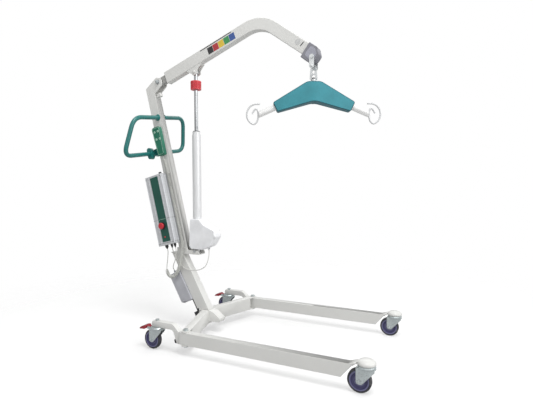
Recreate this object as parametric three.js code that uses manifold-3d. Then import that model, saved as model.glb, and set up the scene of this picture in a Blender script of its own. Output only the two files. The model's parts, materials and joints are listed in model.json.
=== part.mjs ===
// Mobile patient lift: a castored base with spreading legs, a leaning mast,
// an actuator-driven boom and a swivelling spreader bar with pigtail hooks.
// Millimetres, +Z up, +X towards the front castors, +Y to the left side.
import * as THREE from 'three';
import { mergeVertices } from 'three/addons/utils/BufferGeometryUtils.js';
import Module from 'manifold-3d';

const wasm = await Module();
wasm.setup();

// ---------------------------------------------------------------- driving sizes
const DEG = Math.PI / 180;
const GAP = 0.3;                      // clearance between pieces that touch
const BORE_PLAY = 0.5;                // radial play of a pin in its hole
const WALL = 3;                       // wall of the steel tubes

const WHEEL_RADIUS = 50;
const WHEEL_WIDTH = 26;
const TYRE_DEPTH = 9;
const TYRE_SIDES = 28;
const CASTOR_TRAIL = 29;              // wheel centre behind the swivel axis
const MOUNT_PLANE = 2 * WHEEL_RADIUS + 18;   // underside of the castor sockets
const STEM_RADIUS = 6;
const AXLE_RADIUS = 5;
const FORK_CHEEK = 3;
const RACE_RADIUS = 37;

const FRONT_SWIVEL_X = 550;
const REAR_SWIVEL_X = -517;
const LEG_Y = 353;                    // centre line of each leg
const LEG_WIDTH = 36;
const LEG_BOTTOM = 54;
const LEG_TOP = 116;
const LEG_REAR_X = -366;
const LEG_TOE = 25;                   // leg's lower corner, short of a wheel's width behind the axle
const LEG_FRONT_X = FRONT_SWIVEL_X - CASTOR_TRAIL - 2 * WHEEL_RADIUS + LEG_TOE;
const LEG_CUT = 53;                   // forward slope of the front cut
const ARM_WIDTH = 30;                 // gooseneck arm behind each leg
const ARM_HEIGHT = 30;
const HINGE_X = -339;
const HINGE_PIN_RADIUS = 8;
const LEG_SPREAD = 11;                // degrees that each leg opens

const YOKE_X = -455;                  // centre of the cross member
const YOKE_HALF = 20;                 // half width of a cross member arm
const YOKE_BOTTOM = 48;
const YOKE_TOP = 122;
const YOKE_END = 40;                  // arm stops this far from the hinge pin

const LOWER_LEAN = 29.5;              // degrees from upright
const LOWER_DEPTH = 71;
const UPPER_LEAN = 14;
const UPPER_DEPTH = 60;
const MAST_WIDTH = 50;
const KNEE_X = -593;                  // upper mast axis where it meets the knee
const KNEE_Z = 443;
const UPPER_LENGTH = 955;             // square end of the tube under the head

const PIVOT_AHEAD = 68.954;           // boom pivot ahead of the upper mast's middle
const PIVOT_ABOVE = 78.003;           // and past its square end
const PIVOT_ALONG = UPPER_LENGTH + PIVOT_ABOVE;
const PIVOT_X = KNEE_X + PIVOT_AHEAD * Math.cos(UPPER_LEAN * DEG) - PIVOT_ALONG * Math.sin(UPPER_LEAN * DEG);
const PIVOT_Z = KNEE_Z + PIVOT_AHEAD * Math.sin(UPPER_LEAN * DEG) + PIVOT_ALONG * Math.cos(UPPER_LEAN * DEG);
const PIVOT_RADIUS = 8;
const BOOM_RISE = 20.1;               // degrees above level, inner length
const BOOM_FALL = 37;                 // degrees below level, outer length
const BOOM_APEX = 733;                // pivot to the crossing of both centre lines
const BOOM_OUTER = 321;               // apex to the outer end
const BOOM_BEND = 173;
const BOOM_ROOT = 58;                 // tube starts this far from the pivot
const BOOM_HALF = 31;                 // half depth
const BOOM_ROOT_HALF = 35.5;
const BOOM_WIDTH = 40;
const CAP_WIDTH = 52;

const HANGER_AHEAD = 55;              // hanger pin past the boom end, along it
const HANGER_BELOW = 16;              // and square to it
const HANGER_DROP = 46;               // shackle length, pin to pin
const BAR_TURN = 26;                  // degrees, spreader bar in plan at rest
const BAR_REACH = 274.7;              // centre to the end of each arm
const BAR_RADIUS = 16;
const CROWN_DROP = 161.842;           // hanger pin down to where the arm axes cross
const ARM_DROP = 119;                 // and from there down to each arm's end
const HOOK_WIRE = 4.5;

const FOOT_X = -515;                  // lift actuator foot pin
const FOOT_Z = 458;
const ROD_EYE_X = FOOT_X + 1;
const EYE_AHEAD = 262;                // rod eye from the boom pivot
const EYE_ABOVE = 30;
const ROD_EYE_Z = PIVOT_Z + EYE_ABOVE
  + (ROD_EYE_X - PIVOT_X - EYE_AHEAD) * Math.tan(BOOM_RISE * DEG);
const ROD_RADIUS = 11;
const LIFT_TUBE_RADIUS = 25;
const ROD_SHOWING = 342;              // rod between the outer tube and its eye
const LIFT_TUBE_TOP = ROD_EYE_Z - ROD_SHOWING;
const ROD_INSIDE = 225;
const COLLAR_RADIUS = 31;

const HANDLE_RADIUS = 12.5;
const HANDLE_ROLL = 8;                // degrees that the loop is turned in its clamp
const BOX_WIDTH = 125;                // control box
const BOX_DEPTH = 60;
const BOX_LENGTH = 417;
const BOX_START = 67;
const CURLY_RADIUS = 9;
const LEAD_RADIUS = 2.5;

const ORIGIN = new THREE.Vector3();

// ---------------------------------------------------------------- solids
function toSolid(geometry) {
  const bare = geometry.clone();
  bare.deleteAttribute('normal');
  bare.deleteAttribute('uv');
  const merged = mergeVertices(bare, 1e-3);
  const index = Array.from(merged.index.array);
  const triangles = [];
  for (let i = 0; i < index.length; i += 3) {
    const [a, b, c] = index.slice(i, i + 3);
    if (a !== b && b !== c && c !== a) triangles.push(a, b, c);
  }
  return new wasm.Manifold(new wasm.Mesh({
    numProp: 3,
    vertProperties: new Float32Array(merged.attributes.position.array),
    triVerts: new Uint32Array(triangles),
  }));
}

function toGeometry(solid) {
  const mesh = solid.getMesh();
  const geometry = new THREE.BufferGeometry();
  geometry.setAttribute('position', new THREE.BufferAttribute(mesh.vertProperties, 3));
  geometry.setIndex(new THREE.BufferAttribute(mesh.triVerts, 1));
  return geometry;
}

function join(...solids) {
  return solids.reduce((whole, next) => whole.add(next));
}

function cut(solid, ...tools) {
  return tools.reduce((rest, tool) => rest.subtract(tool), solid);
}

function box(x0, x1, y0, y1, z0, z1) {
  const geometry = new THREE.BoxGeometry(x1 - x0, y1 - y0, z1 - z0);
  return toSolid(geometry.translate((x0 + x1) / 2, (y0 + y1) / 2, (z0 + z1) / 2));
}

// A round bar between two points.
function bar(from, to, radius, sides = 12, endRadius = radius) {
  const start = new THREE.Vector3(...from);
  const along = new THREE.Vector3(...to).sub(start);
  const geometry = new THREE.CylinderGeometry(endRadius, radius, along.length(), sides);
  geometry.translate(0, along.length() / 2, 0);
  const turn = new THREE.Quaternion().setFromUnitVectors(
    new THREE.Vector3(0, 1, 0), along.clone().normalize());
  geometry.applyQuaternion(turn);
  return toSolid(geometry.translate(start.x, start.y, start.z));
}

function barY(x, z, y0, y1, radius, sides = 12) {
  return bar([x, y0, z], [x, y1, z], radius, sides);
}

function barZ(x, y, z0, z1, radius, sides = 12) {
  return bar([x, y, z0], [x, y, z1], radius, sides);
}

function signedArea(points) {
  return points.reduce((sum, [x, z], i) => {
    const [nx, nz] = points[(i + 1) % points.length];
    return sum + (x * nz - nx * z) / 2;
  }, 0);
}

// Rounds each corner [x, z, radius] of an outline with an arc.
function rounded(corners, wideSteps = 5) {
  const points = [];
  corners.forEach(([x, z, radius = 0], i) => {
    const steps = radius > 40 ? wideSteps : Math.min(3, Math.ceil(radius / 8));
    if (!radius) {
      points.push([x, z]);
      return;
    }
    const here = new THREE.Vector2(x, z);
    const before = corners[(i + corners.length - 1) % corners.length];
    const after = corners[(i + 1) % corners.length];
    const back = new THREE.Vector2(before[0], before[1]).sub(here).normalize();
    const ahead = new THREE.Vector2(after[0], after[1]).sub(here).normalize();
    const half = Math.acos(THREE.MathUtils.clamp(back.dot(ahead), -1, 1)) / 2;
    const centre = back.clone().add(ahead).normalize().multiplyScalar(radius / Math.sin(half)).add(here);
    const first = back.multiplyScalar(radius / Math.tan(half)).add(here).sub(centre);
    const last = ahead.multiplyScalar(radius / Math.tan(half)).add(here).sub(centre);
    const sweep = Math.atan2(first.cross(last), first.dot(last));
    for (let k = 0; k <= steps; k += 1) {
      const turned = first.clone().rotateAround(new THREE.Vector2(), sweep * k / steps);
      points.push([centre.x + turned.x, centre.y + turned.y]);
    }
  });
  return points;
}

// Moves every side of an outline inwards.
function inset(points, distance) {
  const loop = signedArea(points) > 0 ? points : [...points].reverse();
  return loop.map((point, i) => {
    const here = new THREE.Vector2(...point);
    const before = new THREE.Vector2(...loop[(i + loop.length - 1) % loop.length]);
    const after = new THREE.Vector2(...loop[(i + 1) % loop.length]);
    const a = here.clone().sub(before).normalize();
    const b = after.sub(here).normalize();
    const inward = new THREE.Vector2(-a.y - b.y, a.x + b.x).normalize();
    const miter = distance / Math.max(0.3, inward.dot(new THREE.Vector2(-a.y, a.x)));
    return [here.x + inward.x * miter, here.y + inward.y * miter];
  });
}

function shapeOf(points, holes = []) {
  const shape = new THREE.Shape(points.map(([x, y]) => new THREE.Vector2(x, y)));
  shape.holes = holes.map((hole) => new THREE.Path(hole.map(([x, y]) => new THREE.Vector2(x, y))));
  return shape;
}

// An outline in X and Z, given thickness from y0 to y1.
function plate(points, y0, y1, holes = []) {
  const geometry = new THREE.ExtrudeGeometry(shapeOf(points, holes), { depth: y1 - y0, bevelEnabled: false });
  return toSolid(geometry.rotateX(Math.PI / 2).translate(0, y1, 0));
}

// An outline in X and Y, given height from z0 to z1.
function slab(points, z0, z1) {
  const geometry = new THREE.ExtrudeGeometry(shapeOf(points), { depth: z1 - z0, bevelEnabled: false });
  return toSolid(geometry.translate(0, 0, z0));
}

// A closed rectangular tube: an outline plate, hollow inside, with a drain hole.
function tube(points, halfWidth, drain, wall = WALL) {
  const outer = plate(points, -halfWidth, halfWidth);
  const inner = plate(inset(points, wall), wall - halfWidth, halfWidth - wall);
  return cut(outer, inner, drain);
}

// A turned solid about a vertical axis, from [radius, height] pairs.
function turned(profile, x, y, sides = 16) {
  const geometry = new THREE.LatheGeometry(profile.map(([r, h]) => new THREE.Vector2(r, h)), sides);
  return toSolid(geometry.rotateX(Math.PI / 2).translate(x, y, 0));
}

// A turned ring about the Y axis, from [radius, width position] pairs that close.
function wheelRing(profile, x, z, sides) {
  const closed = [...profile, profile[0]].map(([r, h]) => new THREE.Vector2(r, h));
  const ring = new THREE.LatheGeometry(closed, sides).rotateY(Math.PI / sides);
  return toSolid(ring.translate(x, 0, z));
}

function circle(radius, sides) {
  return Array.from({ length: sides }, (_, i) => [
    radius * Math.cos(2 * Math.PI * i / sides),
    radius * Math.sin(2 * Math.PI * i / sides),
  ]);
}

function sweep(curve, radius, sides, steps) {
  const section = shapeOf(circle(radius, sides));
  return toSolid(new THREE.ExtrudeGeometry(section, { steps, extrudePath: curve, bevelEnabled: false }));
}

function smooth(points) {
  return new THREE.CatmullRomCurve3(points.map((p) => new THREE.Vector3(...p)), false, 'centripetal');
}

// Straight lengths joined by bends.
function bent(points, bend) {
  const path = new THREE.CurvePath();
  const nodes = points.map((p) => new THREE.Vector3(...p));
  let start = nodes[0];
  for (let i = 1; i < nodes.length - 1; i += 1) {
    const into = nodes[i].clone().lerp(nodes[i - 1], bend / nodes[i].distanceTo(nodes[i - 1]));
    const out = nodes[i].clone().lerp(nodes[i + 1], bend / nodes[i].distanceTo(nodes[i + 1]));
    path.add(new THREE.LineCurve3(start, into));
    path.add(new THREE.QuadraticBezierCurve3(into, nodes[i], out));
    start = out;
  }
  path.add(new THREE.LineCurve3(start, nodes[nodes.length - 1]));
  return path;
}

// ---------------------------------------------------------------- finishes
const FINISHES = {
  frame: [0xe6e4df, 0.45, 0.0],
  zinc: [0xb9c2c0, 0.35, 0.9],
  steel: [0xc9ccce, 0.25, 1.0],
  tyre: [0x33353c, 0.8, 0.0],
  core: [0x6a6a92, 0.55, 0.0],
  red: [0xb3202c, 0.4, 0.0],
  black: [0x17181a, 0.6, 0.0],
  teal: [0x2f8c93, 0.5, 0.0],
  handle: [0x1f7f7a, 0.35, 0.0],
  handset: [0x1f7a5c, 0.5, 0.0],
  key: [0x8fc4ae, 0.5, 0.0],
  label: [0x1d5f4c, 0.45, 0.0],
  silver: [0xc4c8c8, 0.4, 0.8],
  cap: [0x949499, 0.55, 0.0],
  housing: [0xe1e2e6, 0.5, 0.0],
  lead: [0xd9dad6, 0.6, 0.0],
};

const model = new THREE.Group();

function add(parent, name, solid, finish) {
  const [color, roughness, metalness] = FINISHES[finish];
  const material = new THREE.MeshStandardMaterial({ color, roughness, metalness });
  const mesh = new THREE.Mesh(toGeometry(solid), material);
  mesh.name = name;
  parent.add(mesh);
  return mesh;
}

const SIDES = [['left', 1], ['right', -1]];

// ---------------------------------------------------------------- castors
function castor(label, swivelX, y, stemTop, braked) {
  const castorFrame = new THREE.Group();
  castorFrame.position.set(swivelX, y, 0);
  model.add(castorFrame);
  const axleX = -CASTOR_TRAIL;
  const axleZ = WHEEL_RADIUS;
  const raceTop = MOUNT_PLANE - GAP;
  const inner = WHEEL_WIDTH / 2 + 1.8;
  const outer = inner + FORK_CHEEK;
  const crown = 2 * WHEEL_RADIUS - 2 + FORK_CHEEK;
  const race = turned([
    [0, crown + 3], [RACE_RADIUS - 3, crown + 3], [RACE_RADIUS, crown + 7],
    [RACE_RADIUS, raceTop - 5], [RACE_RADIUS - 4, raceTop], [0, raceTop],
  ], 0, 0);
  const cheekOutline = rounded([
    [axleX - 12, crown + 4], [34, crown + 4], [34, crown - 5],
    [axleX + 11, axleZ - 12, 10], [axleX - 12, axleZ - 12, 10],
  ]);
  const solids = [
    race,
    barZ(0, 0, raceTop - 1, stemTop, STEM_RADIUS),
    box(axleX - 12, 34, -outer, outer, crown, crown + 4),
    plate(cheekOutline, inner, outer),
    plate(cheekOutline, -outer, -inner),
    barY(axleX, axleZ, -outer - 5, outer + 5, AXLE_RADIUS),
    barY(axleX, axleZ, outer - 0.5, outer + 5, AXLE_RADIUS + 3.5, 6),
    barY(axleX, axleZ, -outer - 5, -outer + 0.5, AXLE_RADIUS + 3.5, 6),
  ];
  if (braked) {
    solids.push(barZ(0, 0, stemTop - 7, stemTop, 10, 6));
    const ear = rounded([
      [axleX - 29, crown, 4], [axleX - 6, crown], [axleX - 6, crown + 13], [axleX - 29, crown + 13, 6],
    ]);
    solids.push(plate(ear, 12, 15), plate(ear, -15, -12));
    solids.push(barY(axleX - 21, crown + 7, -13, 13, 2.5, 12));
    const pedalOutline = rounded([
      [axleX - 74, crown - 3, 2], [axleX - 69, crown + 5, 3], [axleX - 44, crown + 16, 4],
      [axleX - 32, crown + 16, 2], [axleX - 32, crown + 3, 2], [axleX - 40, crown - 1, 3],
    ]);
    const stalk = rounded([
      [axleX - 38, crown + 2], [axleX - 15, crown + 1, 5], [axleX - 15, crown + 13, 5],
      [axleX - 38, crown + 14],
    ]);
    const pedal = cut(
      join(plate(pedalOutline, -22, 22), plate(stalk, -11.5, 11.5)),
      barY(axleX - 21, crown + 7, -20, 20, 2.5 + BORE_PLAY, 12));
    add(castorFrame, `brake_pedal_${label}`, pedal, 'red');
  }
  add(castorFrame, `castor_fork_${label}`, join(...solids), 'zinc');
  const treadIn = WHEEL_RADIUS - TYRE_DEPTH;
  const half = WHEEL_WIDTH / 2;
  const tread = WHEEL_RADIUS / Math.cos(Math.PI / TYRE_SIDES);
  const tyre = wheelRing([
    [treadIn, -half + 1], [tread - 4, -half + 1], [tread, -half + 6],
    [tread, half - 6], [tread - 4, half - 1], [treadIn, half - 1],
  ], axleX, axleZ, TYRE_SIDES);
  add(castorFrame, `tyre_${label}`, tyre, 'tyre');
  const rim = treadIn * Math.cos(Math.PI / TYRE_SIDES) - GAP;
  const core = wheelRing([
    [AXLE_RADIUS + BORE_PLAY, -half], [14, -half], [16, -5], [rim - 7, -5], [rim - 5, -half + 2],
    [rim, -half + 2],
    [rim, half - 2], [rim - 5, half - 2], [rim - 7, 5], [16, 5], [14, half], [AXLE_RADIUS + BORE_PLAY, half],
  ], axleX, axleZ, 14);
  add(castorFrame, `wheel_core_${label}`, core, 'core');
}

// ---------------------------------------------------------------- legs
const FORK_HEAD = MOUNT_PLANE + ARM_HEIGHT + GAP + 7;
const TIE_Z = 74;
const TIE_LUG = [-392, 324];
const LUG_PIN = 5;

function leg(label, side) {
  const legFrame = new THREE.Group();
  legFrame.position.set(0, side * LEG_Y, 0);
  model.add(legFrame);
  const outline = [
    [LEG_REAR_X, LEG_BOTTOM], [LEG_FRONT_X, LEG_BOTTOM],
    [LEG_FRONT_X + LEG_CUT, LEG_TOP], [LEG_REAR_X, LEG_TOP],
  ];
  const body = tube(outline, LEG_WIDTH / 2, barZ(100, 0, LEG_BOTTOM - 5, LEG_BOTTOM + 8, 4, 8));
  const armTop = MOUNT_PLANE + ARM_HEIGHT;
  const arm = plate(rounded([
    [REAR_SWIVEL_X - 24, MOUNT_PLANE], [REAR_SWIVEL_X - 24, armTop, 6], [LEG_REAR_X - 42, armTop, 24],
    [LEG_REAR_X - 9, LEG_TOP, 6], [LEG_REAR_X + 2, LEG_TOP - 3], [LEG_REAR_X + 2, LEG_BOTTOM],
    [LEG_REAR_X - 18, LEG_BOTTOM, 3],
    [LEG_REAR_X - 42, MOUNT_PLANE, 16],
  ]), -ARM_WIDTH / 2, ARM_WIDTH / 2);
  const neck = plate([
    [LEG_FRONT_X + 14, LEG_TOP - 6], [LEG_FRONT_X + LEG_CUT - 1, LEG_TOP - 6],
    [FRONT_SWIVEL_X - 40, MOUNT_PLANE],
    [FRONT_SWIVEL_X, MOUNT_PLANE], [FRONT_SWIVEL_X, MOUNT_PLANE + 14],
    [FRONT_SWIVEL_X - 32, MOUNT_PLANE + 12], [LEG_FRONT_X + 32, LEG_TOP],
  ], -LEG_WIDTH / 2 + 1, LEG_WIDTH / 2 - 1);
  const socket = turned([
    [0, MOUNT_PLANE], [RACE_RADIUS - 2, MOUNT_PLANE], [RACE_RADIUS + 1, MOUNT_PLANE + 3],
    [RACE_RADIUS + 1, MOUNT_PLANE + 10], [RACE_RADIUS - 8, MOUNT_PLANE + 18], [0, MOUNT_PLANE + 20],
  ], FRONT_SWIVEL_X, 0);
  const lugY = side * (TIE_LUG[1] - LEG_Y);
  const lugRoot = side * (2 - ARM_WIDTH / 2);
  const lug = join(
    barZ(TIE_LUG[0], lugY, TIE_Z + 6, TIE_Z + 12, 9),
    box(TIE_LUG[0] - 9, TIE_LUG[0] + 8, Math.min(lugRoot, lugY), Math.max(lugRoot, lugY), TIE_Z + 6,
      TIE_Z + 12));
  const lugPin = barZ(TIE_LUG[0], lugY, TIE_Z - 9, TIE_Z + 8, LUG_PIN);
  const solid = cut(
    join(body, arm, neck, socket, lug, lugPin),
    barZ(HINGE_X, 0, LEG_BOTTOM - 5, LEG_TOP + 5, HINGE_PIN_RADIUS + BORE_PLAY),
    barZ(REAR_SWIVEL_X, 0, MOUNT_PLANE - 2, armTop + 2, STEM_RADIUS + BORE_PLAY),
    barZ(FRONT_SWIVEL_X, 0, MOUNT_PLANE - 2, MOUNT_PLANE + 10, STEM_RADIUS + BORE_PLAY));
  add(legFrame, `leg_${label}`, solid, 'frame');
  const pin = join(
    barZ(HINGE_X, 0, YOKE_BOTTOM - GAP - 1, YOKE_TOP + GAP + 1, HINGE_PIN_RADIUS),
    barZ(HINGE_X, 0, YOKE_TOP + GAP, YOKE_TOP + 8, 12, 12),
    barZ(HINGE_X, 0, YOKE_BOTTOM - 8, YOKE_BOTTOM - GAP, 12, 6));
  add(legFrame, `leg_hinge_pin_${label}`, pin, 'zinc');
}

for (const [label, side] of SIDES) {
  leg(label, side);
  castor(`front_${label}`, FRONT_SWIVEL_X, side * LEG_Y, MOUNT_PLANE + 8, false);
  castor(`rear_${label}`, REAR_SWIVEL_X, side * LEG_Y, FORK_HEAD, true);
}

// ---------------------------------------------------------------- cross member
function yokeArm(side) {
  const hinge = new THREE.Vector2(HINGE_X, side * LEG_Y);
  const centre = new THREE.Vector2(YOKE_X, 0);
  const back = centre.clone().sub(hinge).normalize();
  const across = new THREE.Vector2(-back.y, back.x);
  const end = hinge.clone().addScaledVector(back, YOKE_END);
  const strip = (from, to, half) => {
    const points = [[from, half], [from, -half], [to, -half], [to, half]].map(([p, w]) => {
      const at = p.clone().addScaledVector(across, w);
      return [at.x, at.y];
    });
    return signedArea(points) > 0 ? points : points.reverse();
  };
  const channel = cut(
    slab(strip(end, centre, YOKE_HALF), YOKE_BOTTOM, YOKE_TOP),
    slab(strip(end.clone().addScaledVector(back, WALL), centre, YOKE_HALF - WALL), YOKE_BOTTOM - 1,
      YOKE_TOP - 4));
  const ear = (z0, z1) => join(
    slab(strip(hinge, end.clone().addScaledVector(back, 12), YOKE_HALF), z0, z1),
    barZ(hinge.x, hinge.y, z0, z1, 22, 24));
  return { channel, ears: join(ear(LEG_TOP + GAP, YOKE_TOP), ear(YOKE_BOTTOM, LEG_BOTTOM - GAP)) };
}

const yokeArms = SIDES.map(([, side]) => yokeArm(side));
const yokeHub = cut(
  box(YOKE_X - 31, YOKE_X + 35, -34, 34, YOKE_BOTTOM, YOKE_TOP),
  box(YOKE_X - 28, YOKE_X + 32, -31, 31, YOKE_BOTTOM - 1, YOKE_TOP - 4));
const toe = plate(rounded([
  [YOKE_X + 33, 60], [YOKE_X + 108, 62, 6], [YOKE_X + 104, 84, 10],
  [YOKE_X + 58, 116, 12], [YOKE_X + 33, YOKE_TOP],
]), -28, 28);
let crossMember = join(yokeHub, toe, ...yokeArms.flatMap(({ channel, ears }) => [channel, ears]));
for (const [, side] of SIDES) {
  crossMember = cut(crossMember, barZ(HINGE_X, side * LEG_Y, 30, 140, HINGE_PIN_RADIUS + BORE_PLAY));
}
add(model, 'cross_member', crossMember, 'frame');

// ---------------------------------------------------------------- mast
const lowerSlope = Math.tan(LOWER_LEAN * DEG);
const lowerSpan = LOWER_DEPTH / Math.cos(LOWER_LEAN * DEG);
const LOWER_FRONT_X = -423.7;         // front edge where it stands on the cross member
const lowerBase = YOKE_TOP + GAP;
const kneePlate = KNEE_Z - GAP - 4.7;
const lowerTopX = LOWER_FRONT_X - (kneePlate - GAP - lowerBase) * lowerSlope;
const lowerOutline = [
  [LOWER_FRONT_X, lowerBase], [lowerTopX, kneePlate - GAP],
  [lowerTopX - lowerSpan, kneePlate - GAP], [LOWER_FRONT_X - lowerSpan, lowerBase],
];
add(model, 'lower_mast', tube(lowerOutline, MAST_WIDTH / 2, barZ(LOWER_FRONT_X - 30, 0, lowerBase - 5,
  lowerBase + 8, 6, 8)), 'frame');

const bracketInner = MAST_WIDTH / 2 + GAP;
const bracketOuter = bracketInner + 5;
const bracketCheek = rounded([
  [KNEE_X - 47, kneePlate], [FOOT_X + 31, kneePlate], [FOOT_X + 31, FOOT_Z - 8], [FOOT_X + 22, FOOT_Z + 5, 5],
  [FOOT_X - 46, FOOT_Z + 5], [FOOT_X - 58, FOOT_Z + 16], [KNEE_X - 47, FOOT_Z + 16],
]);
const actuatorBracket = cut(
  join(
    box(lowerTopX - lowerSpan - 2, FOOT_X + 31, -bracketOuter, bracketOuter, kneePlate, KNEE_Z - GAP),
    plate(bracketCheek, bracketInner, bracketOuter),
    plate(bracketCheek, -bracketOuter, -bracketInner)),
  barY(FOOT_X, FOOT_Z, -60, 60, 5 + BORE_PLAY));
add(model, 'actuator_bracket', actuatorBracket, 'frame');
const footPin = join(
  barY(FOOT_X, FOOT_Z, -bracketOuter - 4, bracketOuter + 4, 5),
  barY(FOOT_X, FOOT_Z, bracketOuter + GAP, bracketOuter + 5, 8, 12),
  barY(FOOT_X, FOOT_Z, -bracketOuter - 5, -bracketOuter - GAP, 8, 12));
add(model, 'actuator_foot_pin', footPin, 'steel');

// Everything on the upper mast is laid out in its own leaning frame: X ahead, Z along it.
const mastFrame = new THREE.Group();
mastFrame.position.set(KNEE_X, 0, KNEE_Z);
mastFrame.rotation.y = -UPPER_LEAN * DEG;
model.add(mastFrame);
mastFrame.updateMatrixWorld();
const mastPoint = (x, y, z) => mastFrame.localToWorld(new THREE.Vector3(x, y, z)).toArray();
const inMast = (x, z) => {
  const p = mastFrame.worldToLocal(new THREE.Vector3(x, 0, z));
  return [p.x, p.z];
};

const mastHalf = UPPER_DEPTH / 2;
const mastFaceY = MAST_WIDTH / 2;
const footCut = (x) => -x * Math.tan(UPPER_LEAN * DEG);
const mastOutline = [
  [mastHalf, footCut(mastHalf)], [mastHalf, UPPER_LENGTH], [-mastHalf, UPPER_LENGTH],
  [-mastHalf, footCut(-mastHalf)],
];
const [pivotU, pivotV] = inMast(PIVOT_X, PIVOT_Z);
const headOutline = rounded([
  [-mastHalf, UPPER_LENGTH - 8], [mastHalf, UPPER_LENGTH - 8], [mastHalf, UPPER_LENGTH + 20, 10],
  [pivotU + 26, pivotV - 26, 14], [pivotU + 30, pivotV + 14, 20], [pivotU - 6, pivotV + 31, 16],
  [-mastHalf, pivotV - 10, 4],
]);
const stopLug = box(mastHalf - 1, mastHalf + 28, -12, 12, UPPER_LENGTH - 2, UPPER_LENGTH + 20);
const lugWeb = box(-mastHalf + 2, mastHalf + 2, -22, 22, UPPER_LENGTH - 4, UPPER_LENGTH + 2);
const upperMast = cut(
  join(
    tube(mastOutline, mastFaceY, barZ(0, 0, -8, 12, 6, 8)),
    plate(headOutline, mastFaceY - 6, mastFaceY), plate(headOutline, -mastFaceY, 6 - mastFaceY),
    lugWeb, stopLug),
  barY(pivotU, pivotV, -60, 60, PIVOT_RADIUS + BORE_PLAY));
add(mastFrame, 'upper_mast', upperMast, 'frame');

const boltEnd = mastFaceY + GAP;
const pivotBolt = join(
  barY(PIVOT_X, PIVOT_Z, -boltEnd - 3, boltEnd + 3, PIVOT_RADIUS),
  barY(PIVOT_X, PIVOT_Z, boltEnd, boltEnd + 3, 14, 20), barY(PIVOT_X, PIVOT_Z, -boltEnd - 3, -boltEnd,
    14, 20),
  barY(PIVOT_X, PIVOT_Z, boltEnd + 2, boltEnd + 10, 10, 6), barY(PIVOT_X, PIVOT_Z, -boltEnd - 10,
    -boltEnd - 2, 10, 6));
add(model, 'boom_pivot_bolt', pivotBolt, 'steel');

// ---------------------------------------------------------------- boom
const pivot = new THREE.Vector2(PIVOT_X, PIVOT_Z);
const innerDir = new THREE.Vector2(Math.cos(BOOM_RISE * DEG), Math.sin(BOOM_RISE * DEG));
const outerDir = new THREE.Vector2(Math.cos(BOOM_FALL * DEG), -Math.sin(BOOM_FALL * DEG));
const leftOf = (dir) => new THREE.Vector2(-dir.y, dir.x);
const apex = pivot.clone().addScaledVector(innerDir, BOOM_APEX);
const boomEnd = apex.clone().addScaledVector(outerDir, BOOM_OUTER);
const onInner = (along, up) => pivot.clone().addScaledVector(innerDir,
  along).addScaledVector(leftOf(innerDir), up).toArray();
const onOuter = (along, up) => boomEnd.clone().addScaledVector(outerDir,
  along).addScaledVector(leftOf(outerDir), up).toArray();
const apexLift = BOOM_HALF * Math.tan((BOOM_RISE + BOOM_FALL) / 2 * DEG);
const boomOutline = rounded([
  onInner(BOOM_ROOT, BOOM_ROOT_HALF), onInner(BOOM_ROOT, -BOOM_ROOT_HALF),
  [...onInner(BOOM_APEX - apexLift, -BOOM_HALF), BOOM_BEND - BOOM_HALF], onOuter(0, -BOOM_HALF),
  onOuter(0, BOOM_HALF), [...onInner(BOOM_APEX + apexLift, BOOM_HALF), BOOM_BEND + BOOM_HALF],
], 8);
const rootLug = join(
  barY(PIVOT_X, PIVOT_Z, -14, 14, 22, 24),
  plate([onInner(0, -22), onInner(BOOM_ROOT + 6, -22), onInner(BOOM_ROOT + 6, 22), onInner(0, 22)], -14, 14));
const boomDrain = barZ(onInner(500, 0)[0], 0, onInner(500, 0)[1] - 60, onInner(500, 0)[1] - 10, 4, 8);
const boom = cut(
  join(tube(boomOutline, BOOM_WIDTH / 2, boomDrain), rootLug),
  barY(PIVOT_X, PIVOT_Z, -60, 60, PIVOT_RADIUS + BORE_PLAY));
add(model, 'boom', boom, 'frame');

const eyeAlong = (ROD_EYE_X - PIVOT_X) * innerDir.x + (ROD_EYE_Z - PIVOT_Z) * innerDir.y;
const halfAt = (along) => BOOM_ROOT_HALF
  + (BOOM_HALF - BOOM_ROOT_HALF) * (along - BOOM_ROOT) / (BOOM_APEX - apexLift - BOOM_ROOT);
const under = (along, drop) => onInner(along, -halfAt(along) - GAP - drop);
const eyeDrop = (ROD_EYE_Z - PIVOT_Z) * innerDir.x - (ROD_EYE_X - PIVOT_X) * innerDir.y;
const tipDrop = -eyeDrop - halfAt(eyeAlong) + 18;
const bracketOutline = rounded([
  under(eyeAlong - 46, 0), under(eyeAlong - 46, 5), [...under(eyeAlong - 22, tipDrop - 18), 12],
  [...under(eyeAlong - 14, tipDrop), 10], [...under(eyeAlong + 18, tipDrop), 10],
  [...under(eyeAlong + 22, tipDrop - 20), 14], under(eyeAlong + 60, 5), under(eyeAlong + 60, 0),
]);
const seat = plate([
  under(eyeAlong - 46, 5), under(eyeAlong + 60, 5), under(eyeAlong + 60, 0), under(eyeAlong - 46, 0),
], -19, 19);
const boomBracket = join(
  seat, plate(bracketOutline, 14, 19), plate(bracketOutline, -19, -14),
  barY(ROD_EYE_X, ROD_EYE_Z, 18.5, 24, 8, 12), barY(ROD_EYE_X, ROD_EYE_Z, -24, -18.5, 8, 12));
add(model, 'boom_bracket', boomBracket, 'frame');

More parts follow.
